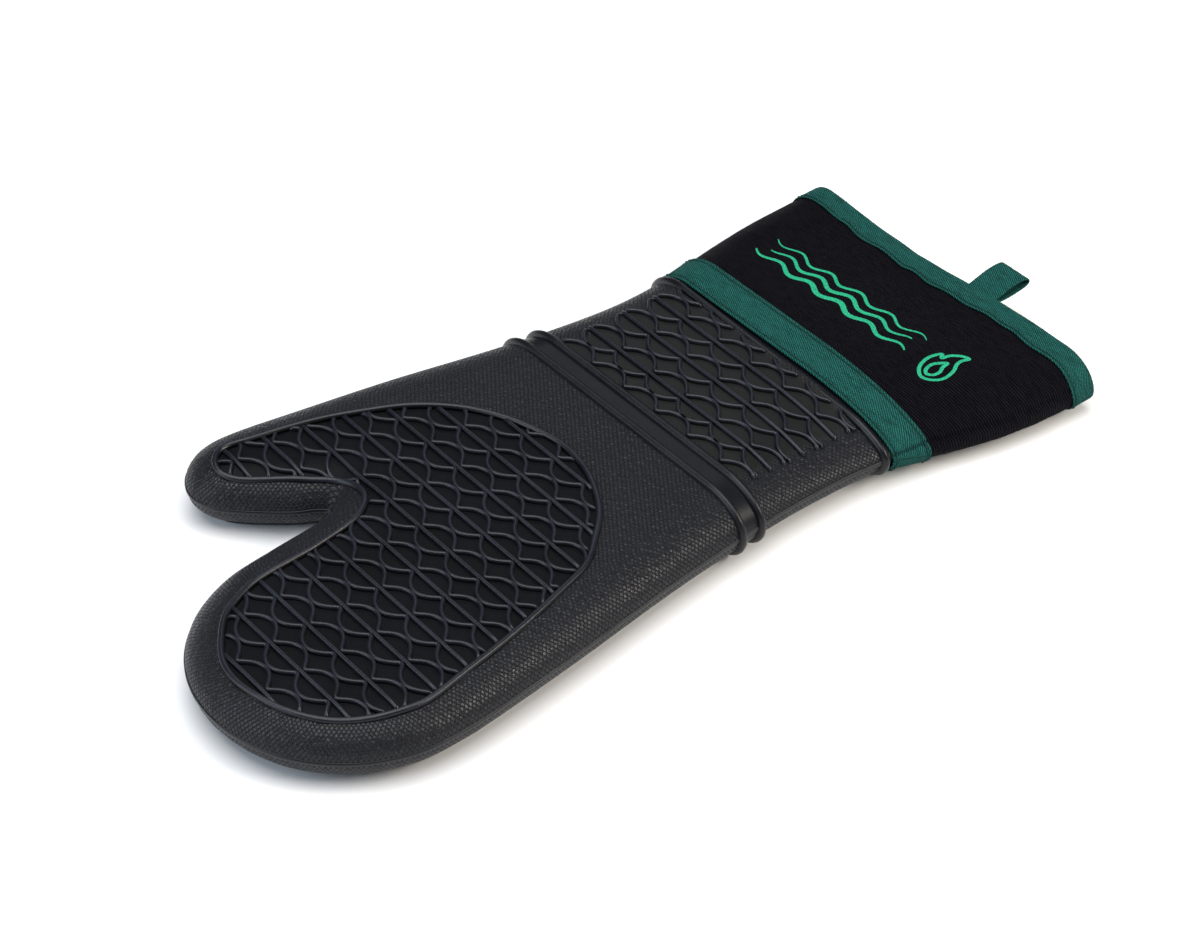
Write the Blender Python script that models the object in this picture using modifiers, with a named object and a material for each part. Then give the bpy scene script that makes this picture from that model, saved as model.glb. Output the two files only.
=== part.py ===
"""Heat resistant glove: a moulded silicone mitt with a quilted liner and a turned-up fabric cuff.

Units are metres, +Z up. The mitt lies palm up on its back: X runs from the fingertips (-X) to the
cuff mouth (+X), the thumb is on the +Y side, and the lowest face of the moulding lies at Z = 0.
"""

import math

import bmesh
import bpy
import numpy as np
from mathutils import Vector

MM = 0.001

# ---------------------------------------------------------------- driving dimensions, millimetres
SHELL_WALL = 2.0  # silicone wall
SHELL_HEIGHT = 25.0  # flat thickness of the moulding
SIDE_ROLL = 17.0  # how far in from the edge the side rounding runs
NEAR_ROLL = 55.0  # the same at the mouth, on the little-finger side
BACK_ROLL = 14.0
PARTING_Z = 12.6  # mould parting plane
GAP = 0.3  # clearance between pieces that touch
LAYER_GAP = 0.9  # clearance between the layers of the liner

BATTING = 2.0
LINER = 0.8

RIB_X = (8.0, 17.8)  # middle of each wrist rib
RIB_PROUD = 2.0
RIB_WIDTH = 3.2
RIM_X = 77.6  # bead round the mouth of the moulding
RIM_PROUD = 2.4
RIM_WIDTH = 3.8
FLANGE_END = 83.4  # thin lip of the moulding that is sewn under the band
FLANGE_SINK = 1.0
MOUTH_LIFT = (60.0, 79.0, 3.3)  # the back rises by this much between these stations

BAND = (81.0, 97.2)  # green tape over the join
BAND_TAPE = 0.9
CUFF_START = 93.2
CUFF_END = 171.0
CUFF_CLOTH = 0.9
LINING_CLOTH = 0.7
HEM_START = 159.8
HEM_END = 172.0
HEM_TAPE = 0.8
THREAD = 0.5

HINGE_X, HINGE_Z = 88.4, 13.0  # fold line of the cuff, half-way through the band

LOOP_START = 173.4
LOOP_END = 192.4
LOOP_Y, LOOP_WIDTH = -22.3, 14.6
LOOP_TAPE = 0.9
LOOP_Z = 18.6  # middle of the folded tape
LOOP_GAP = 4.6  # clear height inside the fold
LOOP_PIVOT_X = 173.1

# Edge of the moulding seen from above, from the mouth along the little-finger side, round the
# fingertips, into the crotch, round the thumb and back to the mouth.
OUTLINE = [
    (84.0, -72.0), (74.0, -70.6), (58.0, -69.3), (35.0, -69.3), (12.0, -71.0),
    (-26.0, -75.2), (-71.0, -82.0), (-102.0, -86.2), (-127.5, -88.8), (-149.0, -87.6),
    (-168.6, -78.6), (-183.8, -62.6), (-191.6, -42.0), (-191.6, -20.8), (-184.4, -1.8),
    (-170.8, 12.9), (-152.6, 21.7), (-132.0, 24.8), (-114.0, 26.6), (-103.4, 28.7),
    (-98.8, 32.4), (-102.6, 36.6), (-111.0, 41.4), (-124.5, 53.0), (-132.0, 62.0),
    (-133.8, 72.6), (-129.0, 82.4), (-119.2, 88.2), (-105.5, 88.8), (-79.0, 84.8),
    (-41.0, 78.4), (-3.0, 70.4), (27.5, 65.1), (53.4, 62.4), (74.6, 63.0), (84.0, 63.8),
]  # fmt: skip

# The fabric tube behind the mitt: x, near side y, far side y, height of its side seams, height
# of its top, how far in the near and the far rounding run, and how deep the top sags between.
TUBE = [
    (72.0, -71.8, 64.2, 12.6, 25.8, 50.0, 17.0, 0.0),
    (84.0, -73.6, 65.6, 12.4, 26.0, 55.0, 18.0, 0.0),
    (96.0, -76.2, 69.0, 9.8, 26.2, 66.0, 22.0, 0.0),
    (110.0, -80.4, 71.8, 9.0, 25.6, 52.0, 21.0, 0.4),
    (126.0, -84.2, 74.2, 8.8, 24.8, 38.0, 19.0, 1.2),
    (142.0, -86.4, 75.8, 8.6, 24.0, 28.0, 17.0, 2.2),
    (158.0, -87.2, 76.8, 8.6, 23.2, 21.0, 14.0, 3.2),
    (172.0, -86.8, 76.8, 8.5, 22.7, 17.0, 12.0, 3.9),
]
SAG_Y, SAG_WIDTH = 17.0, 38.0
TUBE_BOTTOM = 1.6

COLOURS = {
    "silicone": ((0.012, 0.013, 0.014, 1), 0.5),
    "twill": ((0.010, 0.010, 0.012, 1), 0.9),
    "tape": ((0.012, 0.080, 0.070, 1), 0.85),
    "thread": ((0.016, 0.098, 0.085, 1), 0.8),
    "lining": ((0.020, 0.020, 0.022, 1), 0.9),
    "batting": ((0.72, 0.70, 0.66, 1), 0.95),
}


# ---------------------------------------------------------------- scene
for old in list(bpy.data.objects):
    bpy.data.objects.remove(old, do_unlink=True)
parts = bpy.data.collections.new("heat_resistant_glove")
bpy.context.scene.collection.children.link(parts)


def material(name, look):
    colour, roughness = COLOURS[look]
    m = bpy.data.materials.new(name)
    m.use_nodes = True
    m.diffuse_color = colour
    shader = m.node_tree.nodes["Principled BSDF"]
    shader.inputs["Base Color"].default_value = colour
    shader.inputs["Roughness"].default_value = roughness
    shader.inputs["Metallic"].default_value = 0.0
    return m


def add(name, mesh, look):
    """Puts a mesh in the collection as a named piece with its own material."""
    obj = bpy.data.objects.new(name, mesh)
    parts.objects.link(obj)
    mesh.materials.append(material(name + "_mat", look))
    return obj


def mesh_of(name, points, faces, middle=None):
    """A mesh from points in millimetres, with its faces turned outwards.

    Given a middle height, an open surface is turned to face away from that height.
    """
    bm = bmesh.new()
    verts = [bm.verts.new(Vector(p) * MM) for p in points]
    for f in faces:
        corners = []
        for k in f:
            if verts[k] not in corners:
                corners.append(verts[k])
        if len(corners) > 2 and not bm.faces.get(corners):
            bm.faces.new(corners)
    bmesh.ops.recalc_face_normals(bm, faces=bm.faces)
    if middle is not None:
        bm.normal_update()
        away = sum(
            f.normal.z * f.calc_area() * (1 if f.calc_center_median().z > middle * MM else -1)
            for f in bm.faces
        )
        if away < 0:
            bmesh.ops.reverse_faces(bm, faces=bm.faces)
    mesh = bpy.data.meshes.new(name)
    bm.to_mesh(mesh)
    bm.free()
    return mesh


def wall(outer, inner, faces):
    """A closed body between two skins of one layout: both skins, and a rim along their open edges."""
    n = len(outer)
    used = {}
    for f in faces:
        ring = [k for i, k in enumerate(f) if k != f[i - 1]]
        if len(set(ring)) > 2:
            for a, b in zip(ring, ring[1:] + ring[:1]):
                used[(a, b)] = used.get((a, b), 0) + 1
    rim = [(a, b, b + n, a + n) for a, b in used if (b, a) not in used]
    inside = [tuple(k + n for k in f[::-1]) for f in faces]
    return outer + inner, list(faces) + inside + rim


def solidify(obj, thickness):
    """Thickens an open surface towards its inner side."""
    m = obj.modifiers.new("wall", "SOLIDIFY")
    m.thickness = thickness * MM
    m.offset = -1.0
    m.use_even_offset = True
    m.use_rim = True
    return m


# ---------------------------------------------------------------- outline of the mitt
def spline(points, steps=8):
    """A smooth line through the points (centripetal-like Catmull-Rom, straight at its ends)."""
    p = np.array(points, float)
    p = np.vstack([2 * p[0] - p[1], p, 2 * p[-1] - p[-2]])
    out = []
    for a, b, c, d in zip(p, p[1:], p[2:], p[3:]):
        for t in np.arange(steps) / steps:
            out.append(
                0.5 * (2 * b + (c - a) * t + (2 * a - 5 * b + 4 * c - d) * t**2
                       + (3 * b - a - 3 * c + d) * t**3)
            )
    out.append(p[-2])
    return np.array(out)


def inset_line(line, by):
    """The line moved towards the inside of the mitt, which is on the right of its direction of travel."""
    d = np.gradient(line, axis=0)
    n = np.stack([d[:, 1], -d[:, 0]], 1)
    n /= np.linalg.norm(n, axis=1)[:, None]
    return line + n * by


class Outline:
    """The mitt's edge, set in by some millimetres, as four runs that each go one way along X."""

    def __init__(self, inset):
        line = inset_line(spline(OUTLINE), inset)
        half = len(line) // 2
        tip = int(np.argmin(line[:half, 0]))
        crotch = tip + int(np.argmax(np.where(np.arange(len(line) - tip) < 0.42 * len(line),
                                              line[tip:, 0], -1e9)))
        thumb = crotch + int(np.argmin(line[crotch:, 0]))
        self.line = line
        self.tip, self.crotch, self.thumb = line[tip], line[crotch], line[thumb]
        self.runs = {
            "near": line[: tip + 1][::-1],
            "web": line[tip : crotch + 1],
            "inner": line[crotch : thumb + 1][::-1],
            "far": line[thumb:],
        }

    def y(self, run, x):
        r = self.runs[run]
        order = np.argsort(r[:, 0], kind="stable")
        return float(np.interp(x, r[order, 0], r[order, 1]))

    def depth(self, x, y):
        """Distance from the edge."""
        a, b = self.line[:-1], self.line[1:]
        ab, ap = b - a, np.array([x, y]) - a
        t = np.clip((ap * ab).sum(1) / np.maximum((ab * ab).sum(1), 1e-12), 0, 1)
        return float(np.linalg.norm(ap - t[:, None] * ab, axis=1).min())


def roll(depth, width):
    """Share of the full height at a distance in from the edge, as a quarter ellipse."""
    t = min(max(depth / width, 0.0), 1.0)
    return math.sqrt(max(0.0, 1 - (1 - t) ** 2))


def shares(width, n, rolled, both):
    """n + 1 shares of a row, of which the first ones step evenly round the rolled edge.

    With both, the last ones step round the edge at the far end too.
    """
    reach = min(SIDE_ROLL / max(width, 1e-6), 0.5 if both else 0.8)
    edge = reach * (1 - np.cos(math.pi / 2 * np.arange(rolled + 1) / rolled))
    if not both:
        return np.concatenate([edge, np.linspace(reach, 1, n - rolled + 1)[1:]])
    middle = np.linspace(reach, 1 - reach, n - 2 * rolled + 1)[1:-1]
    if n == 2 * rolled:
        return np.concatenate([edge[:-1], [0.5], (1 - edge[:-1])[::-1]])
    return np.concatenate([edge, middle, (1 - edge)[::-1]])


def swell(x):
    """How far the ribs and the rim bead stand out at x, and how far the sewing lip sits back."""
    for at, width, proud in (
        (RIB_X[0], RIB_WIDTH, RIB_PROUD), (RIB_X[1], RIB_WIDTH, RIB_PROUD),
        (RIM_X, RIM_WIDTH, RIM_PROUD),
    ):  # fmt: skip
        if abs(x - at) < width / 2 - 1e-6:
            return proud
    return -FLANGE_SINK if x > RIM_X + RIM_WIDTH / 2 + 0.1 else 0.0


def smooth(a, b, x):
    t = min(max((x - a) / (b - a), 0.0), 1.0)
    return t * t * (3 - 2 * t)


def mouth_lift(x):
    """Height of the lowest line of the mitt above the table."""
    a, b, lift = MOUTH_LIFT
    return lift * smooth(a, b, x)


def palm_roll(x, y):
    """Width of the side rounding, which grows towards the mouth on the little-finger side."""
    return SIDE_ROLL + ((NEAR_ROLL - SIDE_ROLL) * smooth(0.0, 78.0, x) if y < -3 else 0.0)


FINGER_ROWS = (0, 0.014, 0.054, 0.113, 0.183, 0.3, 0.45, 0.62, 0.78, 0.91)
THUMB_ROWS = (0, 0.04, 0.14, 0.28, 0.48, 0.68, 0.86)
WEB_ROWS = (0, 1.3, 5.0, 10.5, 17.0)  # behind the crotch
HAND_COLUMNS, THUMB_COLUMNS = 10, 8


def mitt_skin(inset, stations, halves=("palm", "back"), ribs=False, split_gap=0.0):
    """The surface of the mitt, set in by some millimetres and open at the mouth.

    Rows run across the mitt at each station of x. In front of the crotch a row has two parts,
    one for the fingers and one for the thumb. Every inset gives the same layout of faces.
    """
    edge = Outline(inset)
    crotch_x = float(edge.crotch[0])
    points, faces, keys = [], [], {}

    def height(half, x, y, grow):
        low = mouth_lift(x)
        full = (SHELL_HEIGHT - PARTING_Z if half == "palm" else PARTING_Z - low) - inset
        depth = edge.depth(x, y)
        if x > 70:  # the mouth is open, so it isn't an edge
            depth = min(abs(y - edge.y("near", x)), abs(edge.y("far", x) - y))
        width = max((palm_roll(x, y) if half == "palm" else BACK_ROLL) - inset, 6.0)
        rise = roll(depth, width)
        lift = (full + (grow if half == "palm" or low > 1 else 0.0)) * rise
        lift = max(lift, split_gap / 2)
        return PARTING_Z + lift if half == "palm" else PARTING_Z - lift

    def vertex(half, lobe, i, j, x, y, grow, on_edge):
        on_edge = on_edge and not split_gap
        key = ("edge" if on_edge else half, lobe, i, j)
        if key not in keys:
            keys[key] = len(points)
            z = PARTING_Z if on_edge else height(half, x, y, grow)
            points.append((x, y, z))
        return keys[key]

    near, far = edge.y("near", crotch_x), edge.y("far", crotch_x)
    split = (edge.crotch[1] - near) / (far - near)
    finger = [edge.tip[0] + (crotch_x - edge.tip[0]) * f for f in FINGER_ROWS]
    thumb = [edge.thumb[0] + (crotch_x - edge.thumb[0]) * f for f in THUMB_ROWS]
    whole = [crotch_x + d for d in WEB_ROWS] + list(stations)

    def lobe_row(half, part, i, x):
        first, second, n, rolled, tip = (
            ("near", "web", HAND_COLUMNS, 4, edge.tip)
            if part == "finger"
            else ("inner", "far", THUMB_COLUMNS, 4, edge.thumb)
        )
        if i == 0:
            return [vertex(half, part + "_tip", 0, 0, x, tip[1], 0, True)] * (n + 1)
        a, b = edge.y(first, x), edge.y(second, x)
        return [
            vertex(half, part, i, j, x, a + (b - a) * s, 0, j in (0, n))
            for j, s in enumerate(shares(b - a, n, rolled, True))
        ]

    def whole_row(half, i, x):
        grow = swell(x) if ribs else 0.0
        near, far = edge.y("near", x), edge.y("far", x)
        mid = near + (far - near) * split if i else edge.crotch[1]
        blend = min(1.0, max(0.0, (x - crotch_x) / 30.0))
        out = []
        a = shares(mid - near, HAND_COLUMNS, 4, True) * (1 - blend) + blend * shares(
            mid - near, HAND_COLUMNS, 4, False
        )
        b = shares(far - mid, THUMB_COLUMNS, 4, True) * (1 - blend) + blend * (
            1 - shares(far - mid, THUMB_COLUMNS, 4, False)[::-1]
        )
        for j, s in enumerate(a):
            y = near - grow + (mid - near + grow) * s
            out.append(vertex(half, "hand", i, j, x, y, grow, j == 0 or (i == 0 and j == len(a) - 1)))
        for j, s in enumerate(b[1:], 1):
            y = mid + (far + grow - mid) * s
            out.append(vertex(half, "thumb_side", i, j, x, y, grow, j == THUMB_COLUMNS))
        return out

    for half in halves:
        rows = [whole_row(half, i, x) for i, x in enumerate(whole)]
        fingers = [lobe_row(half, "finger", i, x) for i, x in enumerate(finger)]
        thumbs = [lobe_row(half, "thumb", i, x) for i, x in enumerate(thumb)]
        fingers.append(rows[0][: HAND_COLUMNS + 1])
        thumbs.append(rows[0][HAND_COLUMNS:])
        for block in (rows, fingers, thumbs):
            for r, s in zip(block, block[1:]):
                for j in range(len(r) - 1):
                    f = (r[j], s[j], s[j + 1], r[j + 1])
                    faces.append(f if half == "palm" else f[::-1])
    return points, faces


def bead_rows(at, width):
    e = width / 2
    return [at - e, at - e * 0.62, at + e * 0.62, at + e]


shell_rows = [-60, -30, -8]
for at in RIB_X:
    shell_rows += bead_rows(at, RIB_WIDTH)
shell_rows += [38, 59.9, 69.5] + bead_rows(RIM_X, RIM_WIDTH) + [FLANGE_END]

outside, layout = mitt_skin(0, shell_rows, ribs=True)
inside, _ = mitt_skin(SHELL_WALL, shell_rows)
add("silicone_shell", mesh_of("silicone_shell", *wall(outside, inside, layout)), "silicone")

# ---------------------------------------------------------------- quilted liner
liner_rows = [-55, -20, 20, 59.9, 69.5, 79, FLANGE_END - 0.5]
for half in ("palm", "back"):
    depth = SHELL_WALL + LAYER_GAP
    for piece, thickness, look in (("batting", BATTING, "batting"), ("liner", LINER, "lining")):
        name = half + "_" + piece
        outside, layout = mitt_skin(depth, liner_rows, (half,), split_gap=GAP)
        inside, _ = mitt_skin(depth + thickness, liner_rows, (half,), split_gap=GAP)
        add(name, mesh_of(name, *wall(outside, inside, layout)), look)
        depth += thickness + LAYER_GAP


# ---------------------------------------------------------------- fabric tube: band, cuff, hem
def tube_at(x):
    t = np.array(TUBE)
    return [float(np.interp(x, t[:, 0], t[:, k])) for k in range(1, 8)]


def tube_top(x, y, inset):
    """Height of the upper surface of the tube above its side seams."""
    near, far, seam, top, near_roll, far_roll, sag = tube_at(x)
    rise = min(
        roll(y - near - inset, max(near_roll - inset, 6.0)),
        roll(far - inset - y, max(far_roll - inset, 6.0)),
    )
    sag *= math.exp(-(((y - SAG_Y) / SAG_WIDTH) ** 2))
    return (top - inset - sag - seam) * rise


def tube_row(x, inset, half, n, edge_gap=GAP):
    """Points across one half of the tube at x, from the near seam to the far seam."""
    near, far, seam = tube_at(x)[:3]
    near, far = near + inset, far - inset
    width = 14.0 - inset * 0.5
    out = []
    for s in shares(far - near, n, 4, True):
        y = near + (far - near) * s
        if half == "palm":
            z = seam + max(tube_top(x, y, inset), edge_gap / 2)
        else:
            rise = roll(min(y - near, far - y), width)
            z = seam - max((seam - TUBE_BOTTOM - inset) * rise, edge_gap / 2)
        out.append((x, y, z))
    return out


def strip(rows):
    n = len(rows[0])
    points = [p for r in rows for p in r]
    faces = []
    for i in range(len(rows) - 1):
        for j in range(n - 1):
            faces.append((i * n + j, i * n + j + 1, (i + 1) * n + j + 1, (i + 1) * n + j))
    return points, faces


def tube_half(name, half, xs, inset, thickness, look, columns=16):
    outside, layout = strip([tube_row(x, inset, half, columns) for x in xs])
    inside, _ = strip([tube_row(x, inset + thickness, half, columns) for x in xs])
    add(name, mesh_of(name, *wall(outside, inside, layout)), look)


BAND_IN = 0.0
CLOTH_IN = BAND_IN + BAND_TAPE + GAP + 0.1
LINING_IN = CLOTH_IN + CUFF_CLOTH + GAP
band_rows = [BAND[0], 84.0, 88.6, CUFF_START, BAND[1]]
cuff_rows = [CUFF_START, BAND[1], 103.0, 110.0, 118.0, 126.0, 142.0, 151.0, HEM_START, CUFF_END]
for half in ("palm", "back"):
    tube_half("band_" + half + "_tape", half, band_rows, BAND_IN, BAND_TAPE, "tape")
    tube_half("cuff_" + half + "_panel", half, cuff_rows, CLOTH_IN, CUFF_CLOTH, "twill")
    tube_half("cuff_" + half + "_lining", half, cuff_rows, LINING_IN, LINING_CLOTH, "lining")


def ring(x, inset, n=16):
    """Closed loop of points round the tube at x."""
    top = tube_row(x, inset, "palm", n, 0.0)
    back = tube_row(x, inset, "back", n, 0.0)
    return top + back[-2:0:-1]


# The hem tape is folded over the edge of the cuff: an outer leg, the fold, and an inner leg.
outer = CLOTH_IN - GAP - HEM_TAPE
inner = LINING_IN + LINING_CLOTH + GAP
section = [
    (HEM_START, outer), (HEM_START, outer + HEM_TAPE), (CUFF_END + GAP, outer + HEM_TAPE),
    (CUFF_END + GAP, inner), (HEM_START, inner), (HEM_START, inner + HEM_TAPE),
    (HEM_END, inner + HEM_TAPE), (HEM_END, outer),
]  # fmt: skip
rings = [ring(x, d) for x, d in section]
count = len(rings[0])
points = [p for r in rings for p in r]
faces = []
for k in range(len(rings)):
    m = (k + 1) % len(rings)
    for j in range(count):
        i = (j + 1) % count
        faces.append((k * count + j, k * count + i, m * count + i, m * count + j))
add("hem_binding", mesh_of("hem_binding", points, faces), "tape")


# ---------------------------------------------------------------- stitching and seams
def thread(name, line, cyclic=False, look="thread", radius=THREAD / 2):
    """A thread laid along a line of points, with closed ends."""
    curve = bpy.data.curves.new(name, "CURVE")
    curve.dimensions = "3D"
    curve.bevel_depth = radius * MM
    curve.bevel_resolution = 0
    curve.use_fill_caps = not cyclic
    s = curve.splines.new("POLY")
    s.points.add(len(line) - 1)
    for point, co in zip(s.points, line):
        point.co = (*(Vector(co) * MM), 1)
    s.use_cyclic_u = cyclic
    obj = bpy.data.objects.new(name, curve)
    parts.objects.link(obj)
    curve.materials.append(material(name + "_mat", look))
    return obj


ABOVE = GAP + THREAD / 2
for half in ("palm", "back"):
    for where, x in (("rim", BAND[0] + 1.6), ("cuff", BAND[1] - 1.6)):
        line = tube_row(x, -ABOVE, half, 16, 2.0)
        thread("band_" + half + "_" + where + "_stitch", line)
thread("hem_stitch", ring(HEM_START + 1.6, outer - ABOVE), cyclic=True)


def seam_line(side, x0, x1, n):
    out = []
    for x in np.linspace(x0, x1, n):
        near, far, seam = tube_at(x)[:3]
        y = near + CLOTH_IN - ABOVE if side == "near" else far - CLOTH_IN + ABOVE
        out.append((x, y, seam))
    return out


for side in ("near", "far"):
    thread("cuff_" + side + "_seam", seam_line(side, BAND[1] + 1.0, HEM_START - 1.0, 8),
           look="twill")

# ---------------------------------------------------------------- hanging loop
# The tape is doubled: the two ends lie together at the hem and part towards the fold.
r_out = LOOP_GAP / 2 + LOOP_TAPE
bend = LOOP_END - r_out
pinch = LOOP_TAPE + GAP / 2
leg = [(LOOP_START, pinch), (LOOP_START + 1.2, pinch), (LOOP_START + 5.5, r_out)]
outer_line = [(x, LOOP_Z + z) for x, z in leg]
arc = [math.radians(a) for a in range(90, -91, -30)]
outer_line += [(bend + r_out * math.cos(a), LOOP_Z + r_out * math.sin(a)) for a in arc]
outer_line += [(x, LOOP_Z - z) for x, z in reversed(leg)]
rows = [
    [(x, LOOP_Y + side * LOOP_WIDTH / 2, z) for x, z in outer_line] for side in (-1, 0, 1)
]
loop = add("hanging_loop", mesh_of("hanging_loop", *strip(rows), LOOP_Z), "tape")
solidify(loop, LOOP_TAPE)

# Row of close stitches that holds the ends of the loop inside the hem.
tack_x = HEM_END - 5.0
tack = []
for side in (-1, -0.5, 0, 0.5, 1):
    y = LOOP_Y + LOOP_WIDTH / 2 * side
    tack.append((tack_x, y, tube_at(tack_x)[2] + tube_top(tack_x, y, outer - ABOVE - 0.1)))
thread("loop_bartack", tack, radius=THREAD * 0.7)

# ---------------------------------------------------------------- joints
def pivot(name, at, members):
    """An empty on a joint's axis that carries the pieces that turn about it."""
    e = bpy.data.objects.new(name, None)
    e.empty_display_size = 0.02
    e.location = Vector(at) * MM
    parts.objects.link(e)
    bpy.context.view_layer.update()
    for m in members:
        m.parent = e
        m.matrix_parent_inverse = e.matrix_world.inverted()
    return e


moving = [
    bpy.data.objects[n]
    for n in (
        "cuff_palm_panel", "cuff_back_panel", "cuff_palm_lining", "cuff_back_lining",
        "hem_binding", "hem_stitch", "cuff_near_seam", "cuff_far_seam", "loop_bartack",
    )
]  # fmt: skip
cuff_pivot = pivot("cuff_fold_axis", (HINGE_X, 0, HINGE_Z), moving)
loop_pivot = pivot("loop_swing_axis", (LOOP_PIVOT_X, LOOP_Y, LOOP_Z), [loop])
loop_pivot.parent = cuff_pivot
loop_pivot.matrix_parent_inverse = cuff_pivot.matrix_world.inverted()
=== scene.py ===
"""Heat resistant glove, the looks: a black silicone mitt with a moulded grip pattern, a quilted
liner, a twill cuff with green tapes, and a hanging loop. Lengths in this file are in millimetres
until a mesh is made."""

import math

import bpy
import numpy as np
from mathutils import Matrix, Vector, noise


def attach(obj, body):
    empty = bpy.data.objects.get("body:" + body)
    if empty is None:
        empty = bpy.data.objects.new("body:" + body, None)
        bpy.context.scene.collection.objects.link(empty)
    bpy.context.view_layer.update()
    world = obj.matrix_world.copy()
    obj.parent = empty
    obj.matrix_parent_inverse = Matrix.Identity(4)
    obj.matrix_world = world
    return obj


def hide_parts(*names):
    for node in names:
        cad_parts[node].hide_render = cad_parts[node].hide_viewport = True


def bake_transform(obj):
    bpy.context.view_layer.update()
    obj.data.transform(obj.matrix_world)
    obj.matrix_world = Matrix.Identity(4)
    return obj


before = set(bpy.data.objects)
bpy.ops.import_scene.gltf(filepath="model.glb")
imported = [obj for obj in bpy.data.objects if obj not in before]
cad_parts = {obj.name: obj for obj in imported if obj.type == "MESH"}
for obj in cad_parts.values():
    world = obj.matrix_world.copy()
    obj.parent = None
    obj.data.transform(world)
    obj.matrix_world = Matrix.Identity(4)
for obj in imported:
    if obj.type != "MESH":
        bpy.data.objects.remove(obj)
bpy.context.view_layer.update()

MM = 0.001
rng = np.random.default_rng(7)

# ------------------------------------------------------------------ dimensions, as in the CAD
PITCH = 15.2  # between the straight ridges of the grip pattern
SIDE_ROLL, BACK_ROLL, MID = 17.0, 14.0, 12.6
TOP, BOTTOM = 24.6, 1.15  # smooth faces of the moulding
RECESS = 0.8  # the floor of the grip panels
RIB_X, RIM_X = (8.0, 17.8), 77.6
NEAR_ROLL = 55.0  # the near side rounding at the mouth
FLANGE_END = 83.4
BAND = (80.4, 96.6)
CUFF_START, CUFF_END = 94.6, 171.0
HEM_START, HEM_END = 159.8, 172.0
LOOP_Y, LOOP_WIDTH = -22.3, 14.6

OUTLINE = [
    (84.0, -72.0), (74.0, -70.6), (58.0, -69.3), (35.0, -69.3), (12.0, -71.0),
    (-26.0, -75.2), (-71.0, -82.0), (-102.0, -86.2), (-127.5, -88.8), (-149.0, -87.6),
    (-168.6, -78.6), (-183.8, -62.6), (-191.6, -42.0), (-191.6, -20.8), (-184.4, -1.8),
    (-170.8, 12.9), (-152.6, 21.7), (-132.0, 24.8), (-114.0, 26.6), (-103.4, 28.7),
    (-98.8, 32.4), (-102.6, 36.6), (-111.0, 41.4), (-124.5, 53.0), (-132.0, 62.0),
    (-133.8, 72.6), (-129.0, 82.4), (-119.2, 88.2), (-105.5, 88.8), (-79.0, 84.8),
    (-41.0, 78.4), (-3.0, 70.4), (27.5, 65.1), (53.4, 62.4), (74.6, 63.0), (84.0, 63.8),
]  # fmt: skip

# Middle line of the bead round the palm panel.
PALM_BEAD = [
    (-124.9, 67.0), (-123.2, 71.5), (-118.6, 75.7), (-114.3, 76.4), (-109.0, 74.3),
    (-94.5, 71.4), (-79.5, 67.5), (-64.4, 61.4), (-47.9, 53.0), (-34.0, 40.1), (-24.6, 24.3),
    (-19.3, 7.3), (-18.4, -2.6), (-19.5, -12.0), (-22.4, -22.2), (-31.2, -38.5),
    (-43.2, -50.3), (-52.9, -58.4), (-68.2, -63.5), (-85.6, -68.6), (-102.4, -72.5),
    (-118.4, -75.5), (-134.2, -78.4), (-141.7, -78.3), (-156.3, -74.2), (-168.9, -65.5),
    (-177.7, -51.4), (-181.7, -34.4), (-181.3, -25.4), (-178.9, -17.5), (-169.8, -4.7),
    (-164.5, 0.0), (-153.2, 5.3), (-145.3, 7.4), (-123.7, 8.7), (-112.6, 10.5), (-105.2, 11.6),
    (-98.8, 14.0), (-93.8, 17.6), (-90.9, 22.0), (-89.8, 27.4), (-91.1, 33.3), (-94.4, 38.3),
    (-102.3, 44.5), (-111.1, 51.1), (-119.9, 58.1), (-123.9, 62.9),
]  # fmt: skip

# The fabric tube: x, near side y, far side y, side seam z, top z, how far in the near and the far
# rounding run, and how deep the top sags between them.
TUBE = np.array([
    (72.0, -71.8, 64.2, 12.6, 25.2, 50.0, 17.0, 0.0),
    (84.0, -73.2, 65.4, 12.2, 25.8, 55.0, 18.0, 0.0),
    (96.0, -76.2, 69.0, 9.8, 26.2, 66.0, 22.0, 0.0),
    (110.0, -80.4, 71.8, 9.0, 25.6, 52.0, 21.0, 0.4),
    (126.0, -84.2, 74.2, 8.8, 24.8, 38.0, 19.0, 1.2),
    (142.0, -86.4, 75.8, 8.6, 24.0, 28.0, 17.0, 2.2),
    (158.0, -87.2, 76.8, 8.6, 23.2, 21.0, 14.0, 3.2),
    (172.0, -86.8, 76.8, 8.5, 22.7, 17.0, 12.0, 3.9),
])
TUBE_BOTTOM = 1.6
SAG_Y, SAG_WIDTH = 17.0, 38.0
SEAM_Z = 14.4  # where the side seams lie on the round of the tube


# ------------------------------------------------------------------ lines and surfaces
def spline(points, steps=8, closed=False):
    p = np.array(points, float)
    if closed:
        p = np.vstack([p[-1], p, p[0], p[1]])
    else:
        p = np.vstack([2 * p[0] - p[1], p, 2 * p[-1] - p[-2]])
    out = []
    t = (np.arange(steps) / steps)[:, None]
    for a, b, c, d in zip(p, p[1:], p[2:], p[3:]):
        out.append(0.5 * (2 * b + (c - a) * t + (2 * a - 5 * b + 4 * c - d) * t**2
                          + (3 * b - a - 3 * c + d) * t**3))
    out = np.vstack(out)
    return out if closed else np.vstack([out, p[-2]])


def inset_line(line, by):
    d = np.gradient(line, axis=0)
    n = np.stack([d[:, 1], -d[:, 0]], 1)
    n /= np.linalg.norm(n, axis=1)[:, None]
    return line + n * by


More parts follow.
